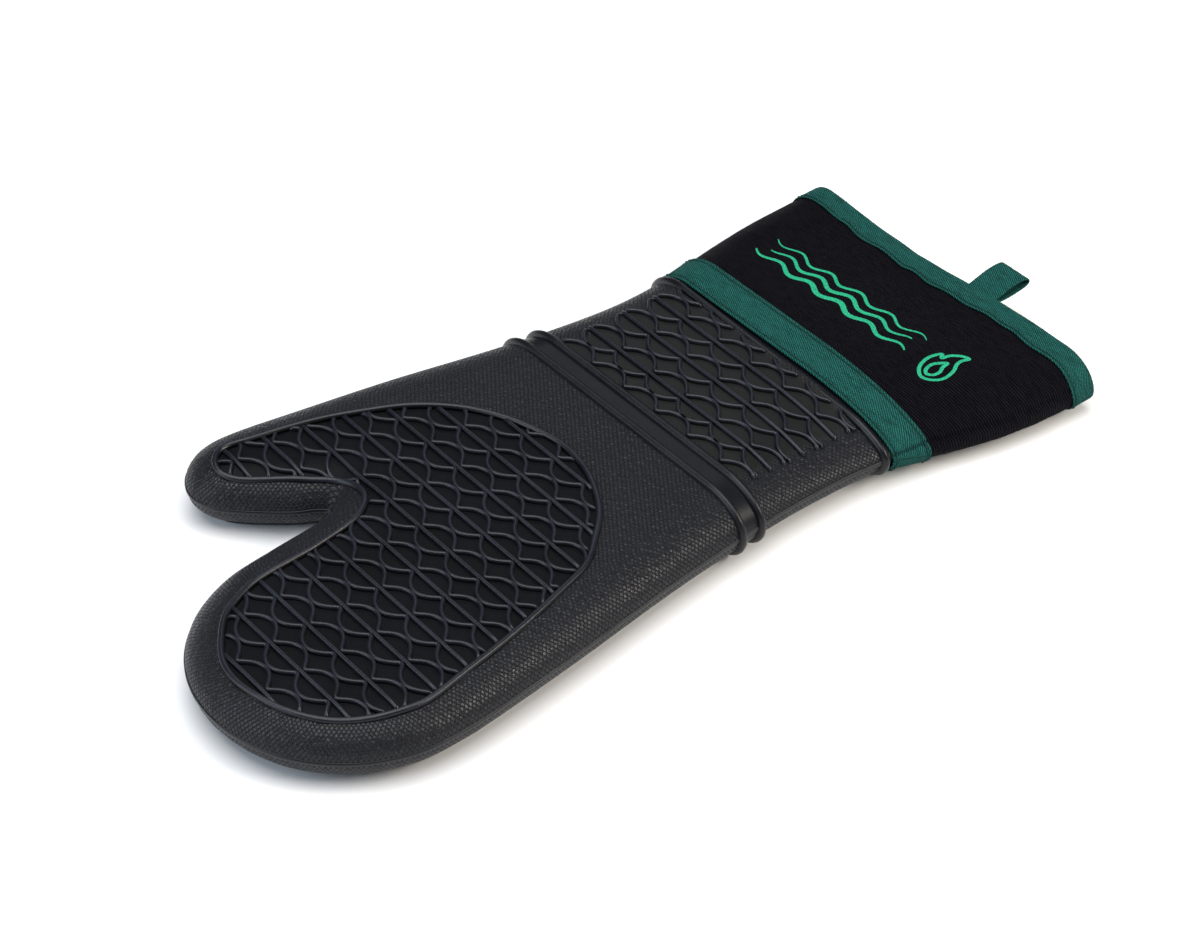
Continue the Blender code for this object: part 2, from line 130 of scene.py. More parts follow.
def nearest(line, at):
    """Distance from each point to the line, and the length along the line there."""
    a, ab = line[:-1], np.diff(line, axis=0)
    size = np.maximum((ab * ab).sum(1), 1e-12)
    run = np.concatenate([[0], np.cumsum(np.sqrt(size))])
    dist, along = np.zeros(len(at)), np.zeros(len(at))
    for k in range(0, len(at), 3000):
        ap = at[k : k + 3000, None] - a
        t = np.clip((ap * ab).sum(2) / size, 0, 1)
        d = np.linalg.norm(ap - t[..., None] * ab, axis=2)
        i = d.argmin(1)
        rows = np.arange(len(i))
        dist[k : k + 3000] = d[rows, i]
        along[k : k + 3000] = run[i] + t[rows, i] * np.sqrt(size[i])
    return dist, along


def inside(loop, at):
    """True for each point inside the closed loop."""
    x, y = at[:, 0], at[:, 1]
    hit = np.zeros(len(at), bool)
    for (x0, y0), (x1, y1) in zip(loop, np.roll(loop, -1, axis=0)):
        if y0 == y1:
            continue
        crosses = (y0 > y) != (y1 > y)
        hit ^= crosses & (x < (x1 - x0) * (y - y0) / (y1 - y0) + x0)
    return hit


def smooth(a, b, x):
    t = np.clip((np.asarray(x, float) - a) / (b - a), 0, 1)
    return t * t * (3 - 2 * t)


def evened(loop, step, width):
    """A closed line with evenly spaced points and its small corners smoothed."""
    ring = np.vstack([loop, loop[:1]])
    run = np.concatenate([[0], np.cumsum(np.linalg.norm(np.diff(ring, axis=0), axis=1))])
    n = int(run[-1] / step)
    s = np.linspace(0, run[-1], n + 1)[:-1]
    pts = np.column_stack([np.interp(s, run, ring[:, 0]), np.interp(s, run, ring[:, 1])])
    k = np.arange(-int(3 * width / step), int(3 * width / step) + 1)
    w = np.exp(-0.5 * (k * step / width) ** 2)
    w /= w.sum()
    return sum(wi * np.roll(pts, -ki, axis=0) for ki, wi in zip(k, w))


EDGE = spline(OUTLINE, 10)
BEAD = evened(spline(PALM_BEAD, 6, closed=True), 1.2, 3.2)
BEAD_CLOSED = np.vstack([BEAD, BEAD[:1]])


def quarter(depth, width):
    t = np.clip(depth / width, 0, 1)
    return np.sqrt(np.maximum(0, 1 - (1 - t) ** 2))


def mouth_lift(x):
    return 2.4 * smooth(60, 79, x)


def panel_depth(at):
    """How far a point is inside the bead, less than 0 outside it."""
    d, _ = nearest(BEAD_CLOSED, at)
    return np.where(inside(BEAD, at), d, -d)


def shell_z(at, half, wall=0.0, recess=True):
    """Height of the moulding's face over points in plan."""
    depth, _ = nearest(EDGE, at)
    depth = np.where(at[:, 0] > 84, 99, depth)
    width = BACK_ROLL - wall
    if half == "palm":
        near_side = at[:, 1] < -3
        width = SIDE_ROLL - wall + (NEAR_ROLL - SIDE_ROLL) * smooth(0, 78, at[:, 0]) * near_side
    rise = quarter(depth - wall, width)
    low = BOTTOM + mouth_lift(at[:, 0])
    dip = RECESS * smooth(-0.9, 0.9, panel_depth(at)) if recess and not wall else 0.0
    sink = 0.9 * smooth(79.2, 80.0, at[:, 0]) * rise
    if half == "palm":
        return MID + (TOP - MID - wall) * rise - dip - sink
    return MID - (MID - low - wall) * rise + dip + sink


def shell_normal(at, half):
    e = 0.8
    up = 1.0 if half == "palm" else -1.0
    zx = shell_z(at + [e, 0], half, recess=False) - shell_z(at - [e, 0], half, recess=False)
    zy = shell_z(at + [0, e], half, recess=False) - shell_z(at - [0, e], half, recess=False)
    n = np.stack([-zx / (2 * e) * up, -zy / (2 * e) * up, np.full(len(at), 1.0)], 1)
    n[:, 2] *= up
    n[:, :2] *= 1.0
    return n / np.linalg.norm(n, axis=1)[:, None]


# ------------------------------------------------------------------ meshes
def shares(width, n, rolled, both, roll):
    reach = min(roll / max(width, 1e-6), 0.5 if both else 0.8)
    edge = reach * (1 - np.cos(math.pi / 2 * np.arange(rolled + 1) / rolled))
    if not both:
        return np.concatenate([edge, np.linspace(reach, 1, n - rolled + 1)[1:]])
    middle = np.linspace(reach, 1 - reach, n - 2 * rolled + 1)[1:-1]
    return np.concatenate([edge, middle, (1 - edge)[::-1]])


def make(name, verts, faces, material=None, flat=False, floats=None, vectors=None):
    """A mesh object from points in millimetres, none of them below the table."""
    verts = np.array(verts, float)
    verts[:, 2] = np.maximum(verts[:, 2], 0.03)
    mesh = bpy.data.meshes.new(name)
    mesh.from_pydata((np.asarray(verts) * MM).tolist(), [], [tuple(f) for f in faces])
    mesh.validate(clean_customdata=False)
    mesh.polygons.foreach_set("use_smooth", [not flat] * len(mesh.polygons))
    for key, values in (floats or {}).items():
        layer = mesh.attributes.new(key, "FLOAT", "POINT")
        layer.data.foreach_set("value", np.asarray(values, np.float32))
    for key, values in (vectors or {}).items():
        layer = mesh.attributes.new(key, "FLOAT_VECTOR", "POINT")
        layer.data.foreach_set("vector", np.asarray(values, np.float32).ravel())
    obj = bpy.data.objects.new(name, mesh)
    bpy.context.scene.collection.objects.link(obj)
    if material:
        mesh.materials.append(material)
    return obj


class Sweeps:
    """Profiles carried along lines, gathered into one mesh."""

    def __init__(self):
        self.verts, self.faces, self.count, self.crests = [], [], 0, []

    def add(self, path, normals, profile, closed=False, scale=None, width=None):
        path, normals = np.asarray(path, float), np.asarray(normals, float)
        if closed:
            t = np.roll(path, -1, axis=0) - np.roll(path, 1, axis=0)
        else:
            t = np.gradient(path, axis=0)
        t /= np.maximum(np.linalg.norm(t, axis=1), 1e-9)[:, None]
        side = np.cross(t, normals)
        side /= np.maximum(np.linalg.norm(side, axis=1), 1e-9)[:, None]
        up = np.cross(side, t)
        n, m = len(path), len(profile)
        a = np.array([p[0] for p in profile])[None, :, None]
        u = np.array([p[1] for p in profile])[None, :, None]
        s = np.ones(n) if scale is None else np.asarray(scale, float)
        w = np.ones(n) if width is None else np.asarray(width, float)
        grow = np.where(u > 0, s[:, None, None], 1.0)
        pts = path[:, None] + side[:, None] * a * w[:, None, None] + up[:, None] * u * grow
        base = self.count
        self.verts.append(pts.reshape(-1, 3))
        # a crest value for each profile point, from its height and how far out it lies; the ridge
        # material paints shade where it is low and a highlight where it is high
        height = np.array([p[1] for p in profile])
        away = np.abs([p[0] for p in profile]) / max(abs(p[0]) for p in profile)
        crest = np.clip(height / height.max(), 0, 1) * (0.35 + 0.65 * np.clip(away / 0.8, 0, 1))
        self.crests.append(np.tile(crest, n))
        self.count += n * m
        for i in range(n if closed else n - 1):
            k = (i + 1) % n
            for j in range(m):
                q = (j + 1) % m
                self.faces.append((base + i * m + j, base + i * m + q, base + k * m + q,
                                   base + k * m + j))
        if not closed:
            self.faces.append(tuple(base + j for j in range(m))[::-1])
            self.faces.append(tuple(base + (n - 1) * m + j for j in range(m)))

    def points(self):
        return np.vstack(self.verts)

    def make(self, name, material, **kw):
        kw.setdefault("floats", {"crest": np.concatenate(self.crests)})
        return make(name, self.points(), self.faces, material, **kw)


def recalc(obj):
    import bmesh

    bm = bmesh.new()
    bm.from_mesh(obj.data)
    bmesh.ops.recalc_face_normals(bm, faces=bm.faces)
    bm.to_mesh(obj.data)
    bm.free()
    return obj


# ------------------------------------------------------------------ materials
class Nodes:
    """A short way to write a material's nodes."""

    def __init__(self, name, colour, roughness):
        self.m = bpy.data.materials.new(name)
        self.m.use_nodes = True
        self.m.diffuse_color = (*colour, 1)
        self.t = self.m.node_tree
        self.bsdf = self.t.nodes["Principled BSDF"]
        self.set("Base Color", (*colour, 1))
        self.set("Roughness", roughness)

    def set(self, key, value):
        self.bsdf.inputs[key].default_value = value

    def link(self, out, key):
        self.t.links.new(out, self.bsdf.inputs[key])

    def node(self, kind, inputs=None, **settings):
        n = self.t.nodes.new(kind)
        for key, value in settings.items():
            setattr(n, key, value)
        for key, value in (inputs or {}).items():
            if isinstance(value, bpy.types.NodeSocket):
                self.t.links.new(value, n.inputs[key])
            else:
                n.inputs[key].default_value = value
        return n

    def math(self, kind, a, b=0.0, c=None):
        n = self.node("ShaderNodeMath", {0: a, 1: b}, operation=kind)
        if c is not None:
            if isinstance(c, bpy.types.NodeSocket):
                self.t.links.new(c, n.inputs[2])
            else:
                n.inputs[2].default_value = c
        return n.outputs[0]

    def attr(self, name, out="Vector"):
        return self.node("ShaderNodeAttribute", attribute_name=name).outputs[out]

    def split(self, vector):
        return self.node("ShaderNodeSeparateXYZ", {0: vector}).outputs

    def noise(self, vector, scale, detail=3.0, rough=0.5):
        return self.node("ShaderNodeTexNoise", {"Vector": vector, "Scale": scale,
                                                "Detail": detail, "Roughness": rough}).outputs[0]

    def ramp(self, value, a, b, lo=0.0, hi=1.0):
        return self.node("ShaderNodeMapRange", {0: value, 1: a, 2: b, 3: lo, 4: hi},
                         interpolation_type="SMOOTHSTEP").outputs[0]

    def mix(self, share, a, b):
        n = self.node("ShaderNodeMix", data_type="RGBA")
        for key, value in ((0, share), (6, a), (7, b)):
            if isinstance(value, bpy.types.NodeSocket):
                self.t.links.new(value, n.inputs[key])
            else:
                n.inputs[key].default_value = value
        return n.outputs[2]

    def bump(self, height, distance, strength=1.0, normal=None):
        n = self.node("ShaderNodeBump", {"Height": height, "Distance": distance,
                                         "Strength": strength})
        if normal is not None:
            self.t.links.new(normal, n.inputs["Normal"])
        return n.outputs[0]


def ovals(n, u, v, wide, tall):
    """Rows of small raised ovals that fit into each other, from two mirrored sets of waves."""
    wave = n.math("MULTIPLY", n.math("COSINE", n.math("MULTIPLY", v, 2 * math.pi / tall)),
                  wide * 0.235)
    gaps = []
    for sign, shift in ((1.0, 0.5), (-1.0, 0.0)):
        p = n.math("MULTIPLY_ADD", wave, sign, u)
        f = n.math("FRACT", n.math("ADD", n.math("DIVIDE", p, wide), shift + 100.0))
        gaps.append(n.math("ABSOLUTE", n.math("SUBTRACT", f, 0.5)))
    return n.ramp(n.math("MINIMUM", gaps[0], gaps[1]), 0.02, 0.20)


def silicone(name, textured=True, bright=1.0, gloss=0.40, rough=0.38, ridged=False):
    base = (0.0046 * bright, 0.0051 * bright, 0.0080 * bright)
    n = Nodes(name, base, rough)
    n.set("IOR", 1.43)
    n.set("Specular IOR Level", gloss)
    n.set("Sheen Weight", 0.02)
    n.set("Sheen Roughness", 0.35)
    n.set("Sheen Tint", (0.75, 0.80, 0.95, 1))
    pos = n.node("ShaderNodeTexCoord").outputs["Object"]
    cloud = n.noise(pos, 38, 4)
    grain = n.noise(pos, 1900, 2)
    lint = n.ramp(n.noise(pos, 620, 1), 0.83, 0.87)
    tone = n.mix(n.ramp(cloud, 0.35, 0.7), (base[0] * 0.8, base[1] * 0.8, base[2] * 0.8, 1),
                 (base[0] * 1.25, base[1] * 1.25, base[2] * 1.22, 1))
    surface = n.ramp(cloud, 0.3, 0.75, rough - 0.05, rough + 0.06)
    height = n.math("MULTIPLY", grain, 0.08)
    if textured:
        flat, side = n.split(n.attr("flat_mm")), n.split(n.attr("side_mm"))
        a = ovals(n, flat[0], flat[1], 1.85, 2.6)
        b = ovals(n, side[0], side[1], 1.85, 2.6)
        blend = n.attr("side_share", "Fac")
        both = n.node("ShaderNodeMix", {0: blend, 2: a, 3: b}, data_type="FLOAT").outputs[0]
        here = n.attr("texture", "Fac")
        # some ovals stand prouder than others, and their tops get more of the painted highlight below
        lively = n.ramp(n.noise(pos, 480, 2), 0.35, 0.65, 0.65, 1.0)
        raised = n.math("MULTIPLY", n.math("MULTIPLY", both, here), lively)
        height = n.math("ADD", height, raised)
        # the grooves between the ovals are made rougher, as with a little dust, and their colour is
        # painted near black, a painted shade
        groove = n.math("MULTIPLY", n.math("SUBTRACT", 1.0, both), here)
        # the raised oval tops are painted lighter than the base, a painted highlight
        tone = n.mix(raised, tone, tuple(c * 1.35 for c in base) + (1,))
        # the smooth wrist floor between the wrist ridges is painted near black, a painted shade
        tone = n.mix(n.attr("wrist", "Fac"), tone, tuple(c * 0.08 for c in base) + (1,))
        surface = n.math("MULTIPLY_ADD", n.attr("wrist", "Fac"), 0.12, surface)
        tone = n.mix(n.math("MULTIPLY", groove, 0.9), tone, (0.0018, 0.0018, 0.0024, 1))
        surface = n.math("MULTIPLY_ADD", groove, 0.35, surface)
    if ridged:
        # painted shade at the foot of a ridge, and a painted highlight along its two upper edges,
        # patchy with the cloud noise, where the ridge is also a little smoother
        crest = n.attr("crest", "Fac")
        tone = n.mix(n.ramp(crest, 0.05, 0.45), (0.0012, 0.0012, 0.0016, 1), tone)
        edge_highlight = n.math("MULTIPLY", n.ramp(crest, 0.42, 0.62), n.ramp(cloud, 0.3, 0.7, 0.5, 1.0))
        tone = n.mix(edge_highlight, tone, tuple(c * 2.6 for c in base) + (1,))
        surface = n.math("MULTIPLY_ADD", edge_highlight, -0.05, surface)
    tone = n.mix(n.math("MULTIPLY", lint, 0.25), tone, (0.20, 0.20, 0.21, 1))
    n.link(tone, "Base Color")
    n.link(surface, "Roughness")
    n.link(n.bump(height, 0.00055, 1.0), "Normal")
    return n.m


def cloth(name, colour, across=0.95, depth=0.00016, coordinate="weave_mm", slant=0.12,
          spread=0.3, rough=0.86, sheen=0.12, contrast=1.0, gloss=0.08, along=0.62, cords=0.35,
          lift=None):
    """Twill: fine ridges that run a little aslant, broken by the threads that cross them."""
    n = Nodes(name, colour, rough)
    n.set("Sheen Weight", sheen)
    n.set("Sheen Roughness", 0.45)
    n.set("Sheen Tint", (*[min(1.0, 0.35 + c * 2.5) for c in colour], 1))
    n.set("Specular IOR Level", gloss)
    uv = n.split(n.attr(coordinate))
    u, v = uv[0], uv[1]
    pos = n.node("ShaderNodeTexCoord").outputs["Object"]
    wobble = n.math("MULTIPLY", n.math("SUBTRACT", n.noise(pos, 210, 2), 0.5), 0.5)
    diag = n.math("ADD", n.math("MULTIPLY_ADD", v, slant, u), wobble)
    line = n.math("SINE", n.math("MULTIPLY", diag, 2 * math.pi / across))
    cross = n.math("SINE", n.math("MULTIPLY", n.math("MULTIPLY_ADD", u, -1.0, v),
                                  2 * math.pi / (across * along)))
    weave = n.math("MULTIPLY_ADD", cross, cords, line)
    fuzz = n.noise(pos, 2600, 3)
    slub = n.noise(n.node("ShaderNodeVectorMath", {0: n.attr(coordinate), 1: (1.1, 0.12, 1.0)},
                          operation="MULTIPLY").outputs[0], 1.3, 2)
    height = n.math("MULTIPLY_ADD", fuzz, 0.8, weave)
    # the raised lines of the weave are painted lighter and the hollows darker, a painted highlight and
    # painted shade, mixed with the yarn's uneven tone along the threads
    shade = n.math("MULTIPLY", n.ramp(weave, -0.9, 1.2), n.ramp(slub, 0.3, 0.62, 0.35, 1.0))
    patch = n.noise(pos, 55, 4)
    lo = tuple(c * (1 - spread) for c in colour) + (1,)
    hi = tuple(min(1.0, c * (1 + (lift or spread * 1.8))) for c in colour) + (1,)
    tone = n.mix(shade, lo, hi)
    dusty = tuple(min(1.0, c * 1.2 + 0.001) for c in colour) + (1,)
    tone = n.mix(n.ramp(patch, 0.45, 0.75, 0.0, 0.3), tone, dusty)
    lint = n.ramp(n.noise(pos, 700, 1), 0.84, 0.88)
    tone = n.mix(n.math("MULTIPLY", lint, 0.15), tone, (0.25, 0.25, 0.26, 1))
    # seams and stitch lines are drawn in, and the cloth along them is painted dark, a painted shade in
    # the crease
    tone = n.mix(n.attr("shade", "Fac"), tone, tuple(c * 0.12 for c in colour) + (1,))
    n.link(tone, "Base Color")
    n.link(n.ramp(fuzz, 0.3, 0.7, rough - 0.06, rough + 0.06), "Roughness")
    n.link(n.bump(height, depth, 0.9 * contrast), "Normal")
    return n.m


GREEN = (0.0095, 0.0720, 0.0630)
mat_skin = silicone("silicone_textured", True)
# the recess floor is painted darker than the rest of the skin, a painted shade between the ridges
mat_floor = silicone("silicone_recess", False, 0.45, 0.11, 0.46)
mat_ridge = silicone("silicone_ridges", False, 0.80, 0.42, 0.33, ridged=True)
mat_bead = silicone("silicone_smooth", False, 0.75, 0.38, 0.33)
mat_wrist = silicone("silicone_band", False, 0.7, 0.24, 0.34)
# the twill's weave lines get a strong painted highlight (lift)
mat_twill = cloth("black_twill", (0.0019, 0.0017, 0.0029), across=1.12, depth=0.00038,
                  spread=0.85, lift=5.0, sheen=0.006,
                  gloss=0.05, rough=0.70)
mat_tape = cloth("green_tape", GREEN, across=0.9, slant=-0.55, depth=0.00020, spread=0.62,
                 sheen=0.02)
mat_lining = cloth("dark_lining", (0.014, 0.014, 0.017), across=0.7, spread=0.3)
mat_thread = cloth("green_thread", (0.015, 0.095, 0.083), across=0.25, slant=0.8, spread=0.3)
mat_black_thread = cloth("black_thread", (0.008, 0.008, 0.010), across=0.25, slant=0.8)


# ------------------------------------------------------------------ the silicone moulding
H_COL, T_COL, ROLLED = 60, 42, 9


def mitt_layout(inset):
    """Points in plan over the mitt, which of them lie on its edge, and the faces of its palm."""
    line = inset_line(EDGE, inset)
    half = len(line) // 2
    tip = int(np.argmin(line[:half, 0]))
    ahead = line[tip : tip + int(0.42 * len(line)), 0]
    crotch = tip + int(np.argmax(ahead))
    thumb = crotch + int(np.argmin(line[crotch:, 0]))
    runs = {"near": line[: tip + 1], "web": line[tip : crotch + 1],
            "inner": line[crotch : thumb + 1], "far": line[thumb:]}
    runs = {k: r[np.argsort(r[:, 0], kind="stable")] for k, r in runs.items()}

    def y(run, x):
        return float(np.interp(x, runs[run][:, 0], runs[run][:, 1]))

    cx, cy = line[crotch]
    roll_steps = SIDE_ROLL * (1 - np.cos(math.pi / 2 * np.arange(ROLLED + 1) / ROLLED))
    near_crotch = 9.0 * (1 - np.cos(math.pi / 2 * np.arange(6) / 6))[1:]

    def lobe(x0):
        a = x0 + roll_steps
        last = cx - near_crotch[-1]
        if a[-1] > last:
            a = x0 + (last - x0) * roll_steps / roll_steps[-1]
            mids = []
        else:
            k = max(1, int((last - a[-1]) / 1.7))
            mids = list(np.linspace(a[-1], last, k + 1)[1:-1])
        return list(a) + mids + list((cx - near_crotch)[::-1])

    fingers, thumbs = lobe(line[tip, 0]), lobe(line[thumb, 0])
    rest = cx + roll_steps
    k = int((FLANGE_END - rest[-1]) / 1.7)
    whole = list(rest) + list(np.linspace(rest[-1], FLANGE_END, k + 1)[1:])
    split = (cy - y("near", cx)) / (y("far", cx) - y("near", cx))

    pts, edge, faces = [], [], []

    def put(x, ys, ends):
        first = len(pts)
        for i, v in enumerate(ys):
            pts.append((x, v))
            edge.append(i in ends)
        return list(range(first, first + len(ys)))

    rows = []
    for i, x in enumerate(whole):
        near, far = y("near", x), y("far", x)
        mid = near + (far - near) * split if i else cy
        b = min(1.0, max(0.0, (x - cx) / 34.0))
        s1 = shares(mid - near, H_COL, ROLLED, True, SIDE_ROLL) * (1 - b) + b * shares(
            mid - near, H_COL, ROLLED, False, SIDE_ROLL)
        s2 = shares(far - mid, T_COL, ROLLED, True, SIDE_ROLL) * (1 - b) + b * (
            1 - shares(far - mid, T_COL, ROLLED, False, SIDE_ROLL)[::-1])
        ys = np.concatenate([near + (mid - near) * s1, (mid + (far - mid) * s2)[1:]])
        rows.append(put(x, ys, {0, len(ys) - 1} | ({H_COL} if i == 0 else set())))
    blocks = [rows]
    for first, second, n, xs in (("near", "web", H_COL, fingers), ("inner", "far", T_COL, thumbs)):
        end = line[tip] if first == "near" else line[thumb]
        lobe_rows = [put(end[0], [end[1]], {0}) * (n + 1)]
        for x in xs[1:]:
            a, b = y(first, x), y(second, x)
            lobe_rows.append(put(x, a + (b - a) * shares(b - a, n, ROLLED, True, SIDE_ROLL),
                                 {0, n}))
        lobe_rows.append(rows[0][: n + 1] if first == "near" else rows[0][H_COL:])
        blocks.append(lobe_rows)
    for block in blocks:
        for r, s in zip(block, block[1:]):
            for j in range(len(r) - 1):
                f = []
                for k in (r[j], s[j], s[j + 1], r[j + 1]):
                    if k not in f:
                        f.append(k)
                faces.append(tuple(f))
    return np.array(pts), np.array(edge), faces, rows[-1]


def mitt_skin(inset):
    """Both faces of the mitt as one surface, open at the mouth."""
    at, edge, faces, mouth = mitt_layout(inset)
    n = len(at)
    palm = np.column_stack([at, shell_z(at, "palm", inset)])
    back = np.column_stack([at, shell_z(at, "back", inset)])
    palm[edge, 2] = MID
    number = np.full(n, -1)
    number[~edge] = n + np.arange((~edge).sum())
    number[edge] = np.flatnonzero(edge)
    verts = np.vstack([palm, back[~edge]])
    all_faces = list(faces) + [tuple(int(number[k]) for k in f[::-1]) for f in faces]
    loop = list(mouth) + [int(number[k]) for k in mouth[-2:0:-1]]
    return verts, all_faces, loop


outer, outer_faces, outer_mouth = mitt_skin(0.0)
inner, inner_faces, inner_mouth = mitt_skin(1.9)
n = len(outer)
verts = np.vstack([outer, inner])
faces = outer_faces + [tuple(k + n for k in f[::-1]) for f in inner_faces]
for i in range(len(outer_mouth)):
    a, b = outer_mouth[i], outer_mouth[(i + 1) % len(outer_mouth)]
    c, d = inner_mouth[(i + 1) % len(outer_mouth)] + n, inner_mouth[i] + n
    faces.append((a, b, c, d))

depth, along = nearest(EDGE, verts[:, :2])
# Length up the rounded side from the parting line, so that the texture keeps its size there.
t = np.linspace(0, 1, 200)
arc = np.concatenate([[0], np.cumsum(np.hypot(np.diff(SIDE_ROLL * t),
                                              np.diff((TOP - MID) * quarter(t * SIDE_ROLL,
                                                                            SIDE_ROLL))))])
up_side = np.interp(depth, SIDE_ROLL * t, arc)
in_panel = panel_depth(verts[:, :2])
texture = 1 - smooth(-0.5, 0.5, in_panel)
x = verts[:, 0]
texture *= 1 - smooth(RIB_X[0] - 1, RIB_X[0], x) * (1 - smooth(RIB_X[1], RIB_X[1] + 1, x))
# the wrist area has no oval texture, and the skin material paints its floor near black there, a painted
# shade
wrist = smooth(18, 20, x) * (1 - smooth(76, 78, x))
yy = verts[:, 1]
wrist *= smooth(-58.0, -53.0, yy) * (1 - smooth(44.0, 50.0, yy))
texture *= 1 - wrist
texture *= 1 - smooth(79, 80, x)
skin = make(
    "silicone_mitt", verts, faces, mat_skin,
    floats={"wrist": wrist, "texture": texture, "side_share": 1 - smooth(13.0, 16.5, depth)},
    vectors={"flat_mm": np.column_stack([verts[:, 0], verts[:, 1], 0 * x]),
             "side_mm": np.column_stack([along, up_side, 0 * x])},
)
recalc(skin)
skin.data.materials.append(mat_floor)
skin.data.materials.append(mat_wrist)
between_ribs = smooth(RIB_X[0] - 1, RIB_X[0], x) * (1 - smooth(RIB_X[1], RIB_X[1] + 1, x))
# faces inside the bead take the darker recess material, a painted shade, and faces between the ribs
# take the band material
for poly in skin.data.polygons:
    k = list(poly.vertices)
    if in_panel[k].mean() > 0:
        poly.material_index = 1
    elif between_ribs[k].mean() > 0.5:
        poly.material_index = 2
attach(skin, "mitt")
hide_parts("silicone_shell")


# ------------------------------------------------------------------ ridges of the grip pattern
def ridge(half_width, height, foot=0.35, sink=0.35):
    w, h = half_width, height
    return [(-w - foot, -sink), (-w - foot * 0.35, 0.12 * h), (-w * 0.92, 0.62 * h),
            (-w * 0.5, 0.97 * h), (w * 0.5, 0.97 * h), (w * 0.92, 0.62 * h),
            (w + foot * 0.35, 0.12 * h), (w + foot, -sink)]


def runs_of(mask):
    """Start and end of each stretch of True."""
    padded = np.concatenate([[False], mask, [False]]).astype(int)
    d = np.diff(padded)
    return list(zip(np.flatnonzero(d == 1), np.flatnonzero(d == -1)))


def lay(sweeps, line, half, profile, closed=False, recess=True, lift=0.0, scale=None, ends=False):
    """Lays a profile along a line in plan, on one face of the moulding."""
    line = np.asarray(line, float)
    z = shell_z(line, half, recess=recess)
    normal = shell_normal(line, half)
    path = np.column_stack([line, z]) + normal * lift
    if ends and scale is None:
        scale = np.ones(len(line))
        scale[[0, -1]] = 0.25
        scale[[1, -2]] = 0.8
    sweeps.add(path, normal, profile, closed=closed, scale=scale)


def gx(x):
    return (x - 11.69) * PITCH


def gy(y):
    return (y + 0.83) * PITCH


NODE = 1.187 * PITCH  # from one waist of a wave to the next
STRAIGHT, WAVE = ridge(0.86, 1.65, 0.22), ridge(0.80, 1.55, 0.22)
BEAD_PROFILE = ridge(1.05, 1.15, 0.5, 0.6)
WAIST, BULGE = 0.102, 0.462  # share of the pitch


def wave_line(x0, y0, y1, side, node_y, node, pitch, step=0.75):
    """Round arches that meet in tight, slightly rounded waists beside the straight ridge."""
    fine = 0.2
    ys = np.arange(min(y0, y1), max(y0, y1) + fine / 2, fine)
    arch = np.abs(np.sin(math.pi * (ys - node_y) / node)) ** 0.78
    k = np.arange(-20, 21)
    w = np.exp(-0.5 * (k * fine / 0.85) ** 2)
    arch = np.convolve(np.pad(arch, 20, mode="edge"), w / w.sum(), mode="valid")
    arch = (arch - arch.min()) / (arch.max() - arch.min())
    off = WAIST + (BULGE - WAIST) * arch
    line = np.column_stack([x0 + side * off * pitch, ys])
    run = np.concatenate([[0], np.cumsum(np.linalg.norm(np.diff(line, axis=0), axis=1))])
    at = np.linspace(0, run[-1], int(run[-1] / step))
    return np.column_stack([np.interp(at, run, line[:, 0]), np.interp(at, run, line[:, 1])])


for half in ("palm", "back"):
    grip = Sweeps()
    for i in range(0, 11):
        x0 = gx(i)
        ys = np.arange(-90, 90, 0.8)
        line = np.column_stack([np.full(len(ys), x0), ys])
        for a, b in runs_of(panel_depth(line) > 0.4):
            if b - a > 7:
                pick = [0, 1, 2, *range(5, b - a - 4, 4), b - a - 3, b - a - 2, b - a - 1]
                lay(grip, line[a:b][pick], half, STRAIGHT, ends=True)
    for i in range(-1, 12):
        for side in (-1, 1):
            line = wave_line(gx(i), -90, 90, side, gy(0.0), NODE, PITCH)
            for a, b in runs_of(panel_depth(line) > 0.4):
                if b - a > 7:
                    lay(grip, line[a:b], half, WAVE, ends=True)
    step = np.linalg.norm(np.diff(BEAD_CLOSED, axis=0), axis=1)
    run = np.concatenate([[0], np.cumsum(step)])
    s = np.linspace(0, run[-1], 420)[:-1]
    bead = np.column_stack([np.interp(s, run, BEAD_CLOSED[:, 0]), np.interp(s, run, BEAD_CLOSED[:, 1])])
    lay(grip, bead, half, BEAD_PROFILE, closed=True, recess=False)
    obj = recalc(grip.make("grip_" + half, mat_ridge))
    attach(obj, "mitt")

    wrist_grip = Sweeps()
    # the back lies on the table, so its wrist pattern is lower
    straight_w = STRAIGHT if half == "palm" else ridge(0.86, 1.1, 0.22)
    wave_w = WAVE if half == "palm" else ridge(0.80, 1.0, 0.22)
    near_end, far_end = gy(-4.5), gy(2.3)
    for x0 in (13.87, 14.93, 15.96):
        ys = np.concatenate([[near_end - 1.6, near_end - 1.2], np.arange(near_end, far_end, 3.0),
                             [far_end + 1.2, far_end + 1.6]])
        lay(wrist_grip, np.column_stack([np.full(len(ys), gx(x0)), ys]), half, straight_w, ends=True)
    chains = [(12.90, (1,)), (13.87, (-1, 1)), (14.93, (-1, 1)), (15.96, (-1, 1)), (16.98, (-1,))]
    for x0, sides in chains:
        for side in sides:
            line = wave_line(gx(x0), gy(-4.62), gy(2.375), side, gy(-0.07), 1.225 * PITCH,
                             1.045 * PITCH)
            ok = (line[:, 0] > RIB_X[1] + 1.2) & (line[:, 0] < RIM_X - 1.2)
            for a, b in runs_of(ok):
                if b - a > 4:
                    lay(wrist_grip, line[a:b], half, wave_w, ends=(b - a) > 20)
    obj = recalc(wrist_grip.make("wrist_grip_" + half, mat_ridge))
    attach(obj, "mitt")


